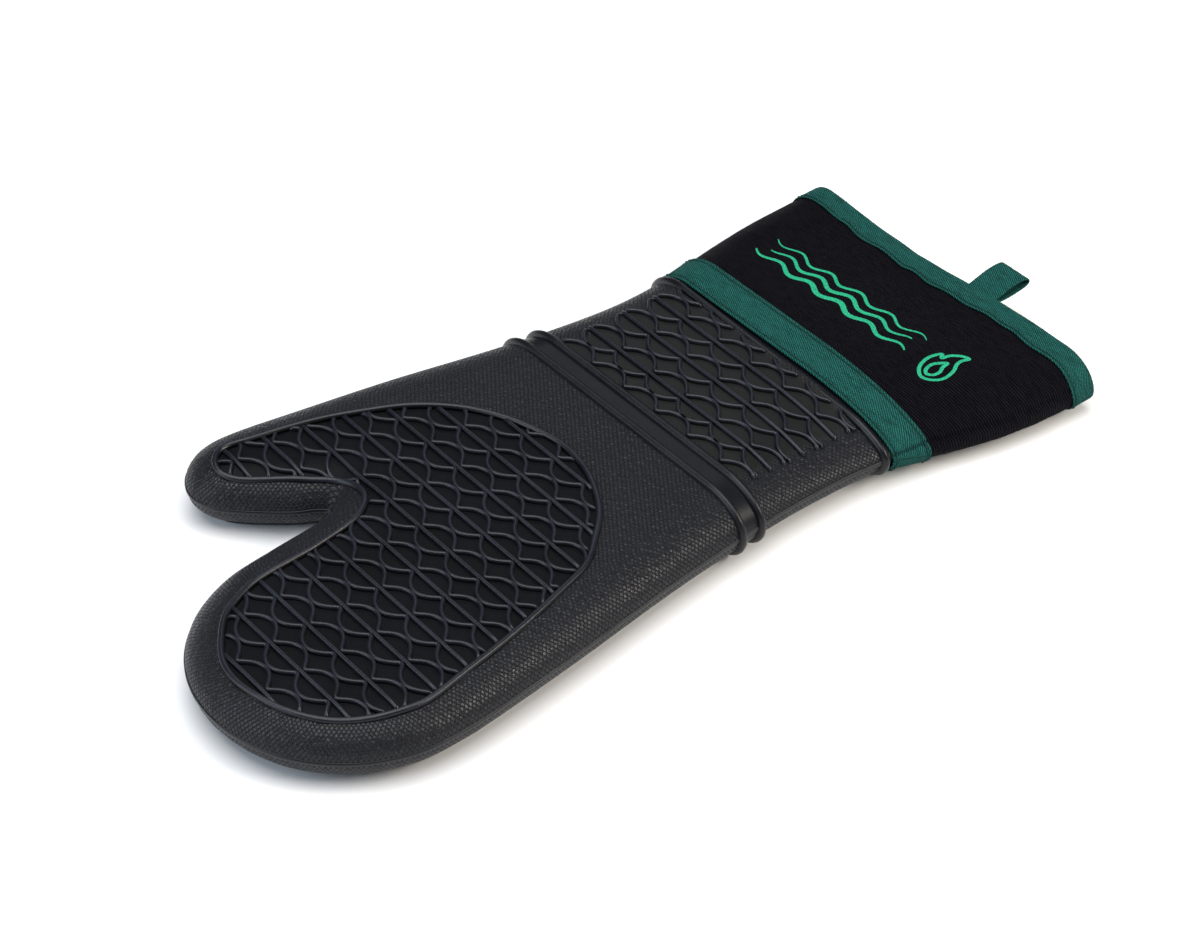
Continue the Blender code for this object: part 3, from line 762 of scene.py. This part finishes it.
def section_loop(x, n=150):
    """Points round the moulding at one station, evenly spaced, with outward normals."""
    line = EDGE
    half = len(line) // 2
    near = float(np.interp(-x, -line[:half, 0], line[:half, 1]))
    far = float(np.interp(x, line[half:, 0][-120:], line[half:, 1][-120:]))
    a = np.linspace(0, math.pi / 2, 24)
    edge_in = SIDE_ROLL * (1 - np.cos(a))
    ys = np.concatenate([near + edge_in, (far - edge_in)[::-1]])
    at = np.column_stack([np.full(len(ys), x), ys])
    top = np.column_stack([ys, shell_z(at, "palm")])
    low = np.column_stack([ys, shell_z(at, "back")])
    for side in (top, low):
        side[0, 1] = side[-1, 1] = MID
    loop = np.vstack([top, low[-2:0:-1]])
    closed = np.vstack([loop, loop[:1]])
    run = np.concatenate([[0], np.cumsum(np.linalg.norm(np.diff(closed, axis=0), axis=1))])
    s = np.linspace(0, run[-1], n + 1)[:-1]
    loop = np.column_stack([np.interp(s, run, closed[:, 0]), np.interp(s, run, closed[:, 1])])
    d = np.roll(loop, -1, axis=0) - np.roll(loop, 1, axis=0)
    nrm = np.stack([-d[:, 1], d[:, 0]], 1)
    nrm /= np.linalg.norm(nrm, axis=1)[:, None]
    full = np.full(n, x)
    return np.column_stack([full, loop]), np.column_stack([0 * full, nrm])


def round_bead(half_width, height, sink=0.5):
    a = np.linspace(0, math.pi, 9)
    body = [(-half_width * math.cos(v), height * math.sin(v) ** 0.85) for v in a]
    body[0], body[-1] = (-half_width - 0.25, 0.0), (half_width + 0.25, 0.0)
    return [(-half_width - 0.3, -sink)] + body + [(half_width + 0.3, -sink)]


ribs = Sweeps()
for x0, width, height in ((RIB_X[0], 1.55, 2.05), (RIB_X[1], 1.55, 2.05), (RIM_X, 1.6, 2.1)):
    path, normal = section_loop(x0)
    room = np.where(normal[:, 2] < -0.3, (path[:, 2] - 0.06) / np.maximum(-normal[:, 2], 0.3), 9)
    ribs.add(path, normal, round_bead(width, height), closed=True,
             scale=np.clip(room / height, 0.2, 1.0))
obj = recalc(ribs.make("wrist_ribs", mat_bead))
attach(obj, "mitt")

# The parting line of the mould, a fine raised line round the side.
flash = Sweeps()
s = nearest(EDGE, EDGE)[1]
run = np.concatenate([[0], np.cumsum(np.linalg.norm(np.diff(EDGE, axis=0), axis=1))])
at = np.arange(4.5, run[-1] - 4.5, 1.6)
line = np.column_stack([np.interp(at, run, EDGE[:, 0]), np.interp(at, run, EDGE[:, 1])])
d = np.gradient(line, axis=0)
d /= np.linalg.norm(d, axis=1)[:, None]
outward = np.column_stack([-d[:, 1], d[:, 0], 0 * at])
flash.add(np.column_stack([line, np.full(len(at), MID)]), outward,
          [(-0.95, -0.35), (-0.80, 0.02), (-0.62, 0.27), (-0.2, 0.30), (0.2, 0.30), (0.62, 0.27),
           (0.80, 0.02), (0.95, -0.35)])
obj = recalc(flash.make("parting_line", mat_bead))
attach(obj, "mitt")


# ------------------------------------------------------------------ the fabric tube
def tube(x):
    return [np.interp(x, TUBE[:, 0], TUBE[:, k]) for k in range(1, 8)]


def crease(x, y):
    """Slow unevenness of the cloth, in millimetres."""
    out = np.zeros(len(x))
    for i, (a, b) in enumerate(zip(x, y)):
        out[i] = noise.noise(Vector((a / 34, b / 27, 1.7))) * 0.9 + noise.noise(
            Vector((a / 13, b / 12, 5.1))) * 0.25
    # small tucks where the hem has been pulled in
    for ty, tx in ((-50.0, 152.0), (45.0, 153.0), (8.0, 156.0)):
        along_y = (y - ty - 0.35 * (x - tx)) / 3.2
        out -= 0.75 * np.exp(-(along_y**2)) * np.exp(-(((x - tx) / 11) ** 2))
    return out


def tube_points(x, count, inset=0.0, rough=1.0, hem_pull=True):
    """Points round the tube at x, from the near side over the palm side and back underneath."""
    near, far, seam, top, near_roll, far_roll, sag = tube(x)
    near, far = near + inset, far - inset
    y = near + (far - near) * (1 - np.cos(np.linspace(0, math.pi, count + 1))) / 2
    rise = np.minimum(quarter(y - near, max(near_roll - inset, 5)),
                      quarter(far - y, max(far_roll - inset, 5)))
    sag = sag * np.exp(-(((y - SAG_Y) / SAG_WIDTH) ** 2))
    top = seam + (top - inset - sag - seam) * rise
    flat = quarter(np.minimum(y - near, far - y), max(14.0 - inset * 0.5, 6))
    low = seam - (seam - TUBE_BOTTOM - inset) * flat
    xs = np.full(len(y), x)
    if rough:
        fade = rough * flat * smooth(96, 108, x)
        uneven = crease(xs, y)
        # the cloth is drawn in by the hem stitching, in soft folds that die out along the cuff
        pull = math.exp(-abs(x - HEM_START + 1.0) / 9.0) if hem_pull else 0.0
        gather = pull * (0.40 * np.sin(y / 4.1 + 2.2 * np.sin(y / 19.0)) - 0.3)
        top = top + fade * (uneven + gather)
        low = low + fade * 0.35 * (uneven - gather)
    up = np.column_stack([xs, y, top])
    down = np.column_stack([xs, y, np.maximum(low, 0.35)])
    up[0, 2] = up[-1, 2] = down[0, 2] = down[-1, 2] = seam
    return up, down


def tube_side(x, side, inset=0.0, z=SEAM_Z):
    """The y of the tube's face, and its normal, where a side rounding passes a height."""
    near, far, seam, top, near_roll, far_roll, _ = tube(x)
    roll = (near_roll if side == "near" else far_roll) - inset
    share = np.clip((z - seam) / (top - inset - seam), 0.02, 0.98)
    d = roll * (1 - np.sqrt(1 - share**2))
    slope = (top - inset - seam) * (1 - d / roll) / (roll * share)
    sign = 1 if side == "near" else -1
    y = (near + inset + d) if side == "near" else (far - inset - d)
    n = np.stack([0 * slope, -sign * slope, np.ones_like(slope)], -1)
    return y, n / np.linalg.norm(n, axis=-1, keepdims=True)


def tube_loop(x, count, inset=0.0, rough=1.0):
    up, down = tube_points(x, count, inset, rough)
    return np.vstack([up, down[-2:0:-1]])


def arc_along(points):
    return np.concatenate([[0], np.cumsum(np.linalg.norm(np.diff(points, axis=0), axis=1))])


def outward_of(loop):
    d = np.roll(loop, -1, axis=0) - np.roll(loop, 1, axis=0)
    n = np.stack([-d[:, 2], d[:, 1]], 1)
    n /= np.maximum(np.linalg.norm(n, axis=1), 1e-9)[:, None]
    return np.column_stack([0 * n[:, 0], n])


def tube_piece(name, rows, material, closed_rows=False):
    """A closed solid from loops round the tube; rows is a list of (x, inset, roughness)."""
    count = 104
    loops = [tube_loop(x, count, inset, rough) for x, inset, rough in rows]
    m = len(loops[0])
    verts = np.vstack(loops)
    around = arc_along(np.vstack([loops[0], loops[0][:1]]))[:-1]
    weave = []
    dist = 0.0
    for k, loop in enumerate(loops):
        if k:
            dist += math.hypot(rows[k][0] - rows[k - 1][0], rows[k][1] - rows[k - 1][1])
        weave.append(np.column_stack([np.full(m, dist), around, np.zeros(m)]))
    faces = []
    for k in range(len(loops)):
        nxt = (k + 1) % len(loops)
        if nxt == 0 and not closed_rows:
            break
        for j in range(m):
            i = (j + 1) % m
            faces.append((k * m + j, nxt * m + j, nxt * m + i, k * m + i))
    obj = make(name, verts, faces, material, vectors={"weave_mm": np.vstack(weave)})
    return recalc(obj)


def coords(obj):
    return np.array([v.co for v in obj.data.vertices]) / MM


def put_coords(obj, co, dark=None):
    obj.data.vertices.foreach_set("co", (co * MM).astype(np.float32).ravel())
    if dark is not None:
        layer = obj.data.attributes.get("shade") or obj.data.attributes.new("shade", "FLOAT", "POINT")
        old = np.zeros(len(co), np.float32)
        layer.data.foreach_get("value", old)
        layer.data.foreach_set("value", np.clip(np.maximum(old, dark), 0, 1).astype(np.float32))
    obj.data.update()


def seam_valley(obj, deep, wide, dark=0.9, puff=0.3):
    """Draws the cloth in along its side seams, with a soft swell on both sides, and paints shade into
    the seam's crease.
    """
    co = coords(obj)
    near, far, seam = tube(co[:, 0])[:3]
    middle = (near + far) / 2
    upper = co[:, 2] > seam - 0.5
    shade = np.zeros(len(co))
    for side in ("near", "far"):
        y, n = tube_side(co[:, 0], side)
        here = ((co[:, 1] < middle) if side == "near" else (co[:, 1] > middle)) * upper
        gap = np.hypot(co[:, 1] - y, co[:, 2] - SEAM_Z)
        line = np.exp(-((gap / wide) ** 2)) * here
        swell = np.exp(-(((gap - 2.3 * wide) / (1.2 * wide)) ** 2)) * here
        co -= n * (deep * line - puff * swell)[:, None]
        shade = np.maximum(shade, dark * np.exp(-((gap / (0.7 * wide)) ** 2)) * here)
    put_coords(obj, co, shade)


def stitch_valley(obj, at, deep=0.3, wide=0.55, dark=0.4):
    """Draws the cloth in along lines of stitching at given stations, and paints shade along them."""
    co = coords(obj)
    normal = np.array([v.normal for v in obj.data.vertices])
    line = np.zeros(len(co))
    for x in at:
        line = np.maximum(line, np.exp(-(((co[:, 0] - x) / wide) ** 2)))
    near, far = tube(co[:, 0])[:2]
    middle = np.column_stack([0 * near, (near + far) / 2, 0 * near + 12.0])
    outside = ((co - middle) * [0, 1, 1] * normal).sum(axis=1) > 0
    put_coords(obj, co - normal * (deep * line * outside)[:, None], dark * line * outside)


CLOTH_IN, CLOTH = 1.1, 0.8
LINING_IN, LINING = 2.3, 0.6

xs = np.concatenate([[CUFF_START], np.arange(CUFF_START + 2, CUFF_END - 1, 1.6), [CUFF_END]])
rows = [(x, CLOTH_IN, 1.0) for x in xs] + [(x, CLOTH_IN + CLOTH, 1.0) for x in xs[::-1]]
cuff = tube_piece("cuff_cloth", rows, mat_twill, closed_rows=True)
seam_valley(cuff, 1.3, 1.15, 1.0)
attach(cuff, "cuff")
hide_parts("cuff_palm_panel", "cuff_back_panel")

xs = np.concatenate([[72.0], np.arange(74, CUFF_END - 1, 2.2), [CUFF_END]])
rows = [(x, LINING_IN + 1.6 * (1 - float(smooth(74, 90, x))), 1.0) for x in xs]
rows += [(x, i + LINING, r) for x, i, r in rows[::-1]]
lining = tube_piece("cuff_lining", rows, mat_lining, closed_rows=True)
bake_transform(lining)
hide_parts("cuff_palm_lining", "cuff_back_lining")


def tape_rows(x0, x1, inset, thick, step=1.6):
    """Cross section of a flat tape with rounded edges, as (x, inset) pairs."""
    e = thick / 2
    top = [(x0 + e * (1 - math.cos(a)), inset + e * (1 - math.sin(a)))
           for a in (0, 0.5, 1.05, math.pi / 2)]
    mid = [(x, inset) for x in np.arange(x0 + e + step, x1 - e - step / 2, step)]
    end = [(x1 - e * (1 - math.cos(a)), inset + e * (1 - math.sin(a)))
           for a in (math.pi / 2, 1.05, 0.5, 0)]
    over = top + mid + end
    under = [(x, 2 * (inset + e) - i) for x, i in over[::-1]]
    return over + under[1:-1]


rows = [(x, i, 0.5) for x, i in tape_rows(BAND[0], BAND[1], 0.0, 0.95, 0.55)]
band = tube_piece("join_band", rows, mat_tape, closed_rows=True)
seam_valley(band, 0.6, 0.9, 0.7, 0.1)
stitch_valley(band, (BAND[0] + 1.7, BAND[1] - 1.7))
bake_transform(band)
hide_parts("band_palm_tape", "band_back_tape")

# The hem tape is folded over the edge of the cuff.
outer_in, inner_in, tape = CLOTH_IN - 0.85, LINING_IN + LINING + 0.1, 0.75
over = [(HEM_START + 0.02, outer_in + tape * 0.5), (HEM_START + 0.12, outer_in + 0.12),
        (HEM_START + 0.45, outer_in)]
over += [(x, outer_in) for x in np.arange(HEM_START + 0.85, HEM_START + 3.0, 0.42)]
over += [(x, outer_in) for x in np.arange(HEM_START + 3.6, HEM_END - 1.8, 1.4)]
centre, radius = (outer_in + inner_in + tape) / 2, (inner_in + tape - outer_in) / 2
fold = [(HEM_END - radius + radius * math.sin(a), centre - radius * math.cos(a))
        for a in np.linspace(0, math.pi, 9)]
back = [(x, inner_in + tape) for x in np.arange(HEM_END - 2.5, HEM_START + 1.0, -1.7)]
under = [(HEM_START + 0.3, inner_in + tape * 0.9), (HEM_START + 0.1, inner_in + tape * 0.4),
         (HEM_START + 0.5, inner_in)]
r_in = radius - tape
infold = [(HEM_END - radius + r_in * math.sin(a), centre - r_in * math.cos(a))
          for a in np.linspace(math.pi, 0, 7)]
rows = [(x, i, 1.0) for x, i in over + fold + back + under + infold
        + [(HEM_START + 0.6, outer_in + tape)]]
hem = tube_piece("hem_tape", rows, mat_tape, closed_rows=True)
stitch_valley(hem, (HEM_START + 1.7,))


def hem_wave(co):
    """How far the inner edge of the hem tape wanders along X."""
    pull = 1 - smooth(HEM_START, HEM_START + 8, co[:, 0])
    wave = 1.7 * np.exp(-(((co[:, 1] + 50) / 6) ** 2))
    wave += 1.1 * np.exp(-(((co[:, 1] - 45) / 5) ** 2))
    wave += 0.35 * np.sin(co[:, 1] / 7.3) + 0.25 * np.sin(co[:, 1] / 3.1 + 1.0)
    return pull * wave * smooth(9, 14, co[:, 2])


co = np.array([v.co for v in hem.data.vertices]) / MM
co[:, 0] += hem_wave(co)
hem.data.vertices.foreach_set("co", (co * MM).astype(np.float32).ravel())
hem.data.update()
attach(hem, "cuff")
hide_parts("hem_binding")


# ------------------------------------------------------------------ printed motif on the cuff
# A plain pattern of rising heat waves and a small flame, as thin raised ink.
def cuff_top(points, lift):
    """Puts points in plan on the palm side of the cuff."""
    out = np.zeros((len(points), 3))
    for i, (a, b) in enumerate(points):
        up, _ = tube_points(a, 104, CLOTH_IN, 1.0)
        out[i] = (a, b, np.interp(b, up[:, 1], up[:, 2]) + lift)
    return out


def ink_line(sweeps, points, width, closed=False, taper=False):
    points = np.asarray(points, float)
    path = cuff_top(points, 0.0)
    profile = [(-0.5, -0.10), (-0.5, 0.05), (-0.44, 0.10), (0.0, 0.12), (0.44, 0.10), (0.5, 0.05),
               (0.5, -0.10)]
    w = np.full(len(path), width, float)
    if taper:
        t = np.linspace(0, 1, len(path))
        w *= 0.25 + 0.75 * np.sin(math.pi * t) ** 0.6
    sweeps.add(path, np.tile([0, 0, 1.0], (len(path), 1)), profile, closed=closed, width=w)


ink = Sweeps()
for k, (x0, y0, y1, width) in enumerate(((118.5, 50, -36, 2.4), (124.5, 46, -32, 2.0),
                                         (130.0, 50, -36, 1.5))):
    ys = np.linspace(y0, y1, 150)
    xs_line = x0 + 1.7 * np.sin(2 * math.pi * (ys - 50) / 17.2)
    ink_line(ink, np.column_stack([xs_line, ys]), width, taper=True)
flame = [(0.0, -10.5), (3.6, -8.2), (5.6, -4.4), (5.2, 0.2), (3.4, 3.6), (2.9, 6.6), (3.6, 9.6),
         (0.6, 8.4), (-1.9, 5.2), (-2.6, 1.8), (-4.4, 3.6), (-5.6, -0.6), (-5.2, -5.0),
         (-3.4, -8.6)]
inner_flame = [(0.0, -8.0), (1.9, -6.4), (2.4, -3.8), (1.3, -1.2), (0.9, 1.4), (-0.9, -0.8),
               (-2.2, -3.4), (-1.8, -6.6)]
for shape, width in ((flame, 1.5), (inner_flame, 1.5)):
    curve = spline(shape, 7, closed=True)
    ink_line(ink, np.column_stack([124.5 + curve[:, 1] * 1.05, -51.0 - curve[:, 0] * 1.05]), width,
             closed=True)
mat_ink = Nodes("green_ink", (0.018, 0.36, 0.19), 0.6)
mat_ink.set("Specular IOR Level", 0.15)
_pos = mat_ink.node("ShaderNodeTexCoord").outputs["Object"]
_speck = mat_ink.noise(_pos, 1500, 3)
_tone = mat_ink.mix(mat_ink.ramp(_speck, 0.35, 0.62), (0.014, 0.25, 0.135, 1), (0.020, 0.39, 0.20, 1))
_uv = mat_ink.split(mat_ink.attr("weave_mm"))
_rib = mat_ink.math("SINE", mat_ink.math("MULTIPLY", _uv[0], 2 * math.pi / 0.95))
mat_ink.link(_tone, "Base Color")
mat_ink.link(mat_ink.bump(mat_ink.math("MULTIPLY_ADD", _speck, 0.8, _rib), 0.00010, 0.8), "Normal")
motif = recalc(ink.make("cuff_motif", mat_ink.m, vectors={"weave_mm": ink.points() * [1, 1, 0]}))
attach(motif, "cuff")

# ------------------------------------------------------------------ stitching
def stitch_profile(r):
    return [(r * math.cos(a), r * math.sin(a)) for a in np.linspace(0, 2 * math.pi, 7)[:-1]]


def stitches(name, path, normals, material, body=None, pitch=2.7, length=2.2, r=0.27, nodes=(),
             blend=None):
    """Single stitches along a line: each dips into the cloth at both ends."""
    run = arc_along(path)
    sweeps = Sweeps()
    for s0 in np.arange(0.4, run[-1] - length, pitch):
        t = np.linspace(0, 1, 7)
        s = s0 + t * length
        p = np.column_stack([np.interp(s, run, path[:, k]) for k in range(3)])
        q = np.column_stack([np.interp(s, run, normals[:, k]) for k in range(3)])
        q /= np.linalg.norm(q, axis=1)[:, None]
        lift = 0.22 * np.sin(math.pi * t) ** 0.6 - 0.10
        slim = 0.45 + 0.55 * np.sin(math.pi * t) ** 0.5
        sweeps.add(p + q * lift[:, None], q, stitch_profile(r), scale=slim, width=slim)
    obj = recalc(sweeps.make(name, material, vectors={
        "weave_mm": sweeps.points() * [1, 1, 0] + np.column_stack(
            [0 * sweeps.points()[:, 2], sweeps.points()[:, 2], 0 * sweeps.points()[:, 2]])}))
    if blend:
        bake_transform(obj)
    else:
        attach(obj, body)
    if nodes:
        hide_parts(*nodes)
    return obj


def ring_path(x, inset, rough):
    loop = tube_loop(x, 104, inset, rough)
    nrm = outward_of(loop)
    return np.vstack([loop, loop[:1]]), np.vstack([nrm, nrm[:1]])


fold_blend = (("mitt", "cuff"), (0.0825, 0, 0), (0.092, 0, 0))
path, normal = ring_path(BAND[0] + 1.7, 0.0, 0.5)
stitches("band_rim_stitching", path, normal, mat_thread, blend=fold_blend,
         nodes=("band_palm_rim_stitch", "band_back_rim_stitch"))
path, normal = ring_path(BAND[1] - 1.7, 0.0, 0.5)
stitches("band_cuff_stitching", path, normal, mat_thread, blend=fold_blend,
         nodes=("band_palm_cuff_stitch", "band_back_cuff_stitch"))
path, normal = ring_path(HEM_START + 1.7, outer_in, 1.0)
path[:, 0] += hem_wave(path)
stitches("hem_stitching", path, normal, mat_thread, "cuff", nodes=("hem_stitch",))

# Side seams: a fine overcast line in the valley between the two panels.
for side in ("near", "far"):
    xs = np.arange(BAND[1] + 0.4, HEM_START - 0.4, 2.0)
    y, normals = tube_side(xs, side, CLOTH_IN)
    path = np.column_stack([xs, y, 0 * xs + SEAM_Z]) - normals * 0.75
    stitches("cuff_" + side + "_seam_stitching", path, normals, mat_black_thread, "cuff",
             pitch=2.1, length=1.7, r=0.2, nodes=("cuff_" + side + "_seam",))

# ------------------------------------------------------------------ hanging loop
middle = [(163.0, 16.55), (168.0, 16.55), (172.0, 16.75), (176.0, 17.7), (181.0, 18.75),
          (186.0, 19.05), (189.6, 18.7), (191.5, 17.5), (191.3, 16.1), (189.0, 15.2),
          (184.0, 14.75), (179.0, 14.75), (175.0, 15.1), (172.0, 15.45), (168.0, 15.6),
          (163.0, 15.6)]
line = spline(middle, 6)
line[:, 1] += 1.75 + 0.9 * smooth(172, 192, line[:, 0])
line[:, 0] -= 0.4 * smooth(172, 192, line[:, 0])
n_line = len(line)
d = np.gradient(line, axis=0)
d /= np.linalg.norm(d, axis=1)[:, None]
normal = np.column_stack([-d[:, 1], d[:, 0]])
loop_sweep = Sweeps()
path = np.column_stack([line[:, 0], np.full(n_line, LOOP_Y), line[:, 1]])
half_w, e = LOOP_WIDTH / 2, 0.42
edge_arc = [(half_w - e + e * math.cos(a), e * math.sin(a))
            for a in np.linspace(-math.pi / 2, math.pi / 2, 6)]
across = list(np.linspace(half_w - 1.2, -half_w + 1.2, 9))
profile = edge_arc + [(v, e + 0.05 * math.sin(v * 1.3)) for v in across]
profile += [(-a, b) for a, b in edge_arc[::-1]] + [(v, -e) for v in across[::-1]]
loop_sweep.add(path, np.column_stack([normal[:, 0], 0 * normal[:, 0], normal[:, 1]]), profile)
pts = loop_sweep.points()
run = arc_along(path)
weave = np.column_stack([np.repeat(run, len(profile)), pts[:, 1], 0 * pts[:, 0]])
loop = recalc(loop_sweep.make("loop_tape", mat_tape, vectors={"weave_mm": weave}))
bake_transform(loop)
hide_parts("hanging_loop")

xs_tack = HEM_END - 5.5
tack = np.array([(xs_tack, LOOP_Y + LOOP_WIDTH / 2 * s, 0) for s in np.linspace(-1, 1, 12)])
loop_pts = tube_loop(xs_tack, 104, outer_in, 1.0)[:105]
tack[:, 2] = np.interp(tack[:, 1], loop_pts[:, 1], loop_pts[:, 2])
stitches("loop_tacking", tack, np.tile([0, 0, 1.0], (len(tack), 1)), mat_thread, "cuff",
         pitch=1.05, length=0.95, r=0.26, nodes=("loop_bartack",))

# ------------------------------------------------------------------ quilted liner inside the mitt
at, edge, lfaces, mouth = mitt_layout(5.0)


def quilt(at, half):
    u = (at[:, 0] + at[:, 1]) / 26.0
    v = (at[:, 0] - at[:, 1]) / 26.0
    return 1.3 * (np.abs(np.sin(math.pi * u)) * np.abs(np.sin(math.pi * v))) ** 0.5


def liner_half(half):
    z_out = shell_z(at, half, 2.6)
    z_in = shell_z(at, half, 4.8)
    puff = quilt(at, half)
    z_in = z_in - puff * (1 if half == "palm" else -1)
    gap = 0.25 if half == "palm" else -0.25
    z_out = np.where(edge, MID + gap, z_out)
    z_in = np.where(edge, MID + gap, z_in)
    if half == "palm":
        z_in = np.maximum(z_in, MID + 0.2)
        z_out = np.maximum(z_out, z_in + 0.4)
    else:
        z_in = np.minimum(z_in, MID - 0.2)
        z_out = np.minimum(z_out, z_in - 0.4)
    n = len(at)
    verts = np.vstack([np.column_stack([at, z_out]), np.column_stack([at, z_in])])
    used = {}
    for f in lfaces:
        for a, b in zip(f, f[1:] + f[:1]):
            used[(a, b)] = True
    rim = [(a, b, b + n, a + n) for a, b in used if (b, a) not in used]
    faces = list(lfaces) + [tuple(k + n for k in f[::-1]) for f in lfaces] + rim
    weave = np.vstack([np.column_stack([at, 0 * at[:, 0]])] * 2)
    obj = recalc(make("quilted_liner_" + half, verts, faces, mat_lining,
                      vectors={"weave_mm": weave}))
    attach(obj, "mitt")
    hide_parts(half + "_batting", half + "_liner")
    return obj


for half in ("palm", "back"):
    liner_half(half)

# ------------------------------------------------------------------ floor, lights, camera
bpy.ops.mesh.primitive_plane_add(size=6, location=(0, 0, 0))
floor = bpy.context.active_object
floor.name = "floor"
paper = Nodes("floor_paper", (0.86, 0.86, 0.86), 0.7)
paper.set("Specular IOR Level", 0.2)
floor.data.materials.append(paper.m)

world = bpy.data.worlds.new("studio")
world.use_nodes = True
world.node_tree.nodes["Background"].inputs[0].default_value = (0.86, 0.93, 1.0, 1)
world.node_tree.nodes["Background"].inputs[1].default_value = 0.12
bpy.context.scene.world = world


def lamp(name, at, target, size, power, colour):
    data = bpy.data.lights.new(name, "AREA")
    data.shape = "RECTANGLE"
    data.size, data.size_y = size
    data.energy = power
    data.color = colour
    obj = bpy.data.objects.new(name, data)
    obj.location = at
    obj.rotation_euler = (Vector(target) - Vector(at)).to_track_quat("-Z", "Y").to_euler()
    bpy.context.scene.collection.objects.link(obj)


lamp("key", (-0.16, -0.02, 1.7), (-0.02, 0, 0), (1.9, 1.7), 40, (1, 1, 1))
lamp("warm_side", (0.62, -0.85, 0.72), (0, -0.08, 0), (0.8, 0.3), 12.0, (1.0, 0.93, 0.84))
lamp("cool_side", (-1.10, 0.30, 0.50), (-0.12, 0, 0), (0.9, 0.6), 7.0, (0.76, 0.87, 1.0))
lamp("behind", (0.75, 0.95, 0.95), (0, 0, 0), (0.5, 0.35), 0.9, (0.94, 0.97, 1.0))

camera = bpy.data.cameras.new("camera")
camera.lens, camera.sensor_width = 99.0, 36.0
camera.clip_start, camera.clip_end = 0.05, 20
eye = bpy.data.objects.new("camera", camera)
target = Vector((-17.9, -21.9, 25.5)) * MM
back_dir = Vector((-0.4828, -0.6048, 0.6334))
eye.location = target + back_dir * (78.5 * PITCH * MM)
eye.rotation_euler = (-back_dir).to_track_quat("-Z", "Y").to_euler()
bpy.context.scene.collection.objects.link(eye)
bpy.context.scene.camera = eye
bpy.context.scene.view_settings.view_transform = "Standard"
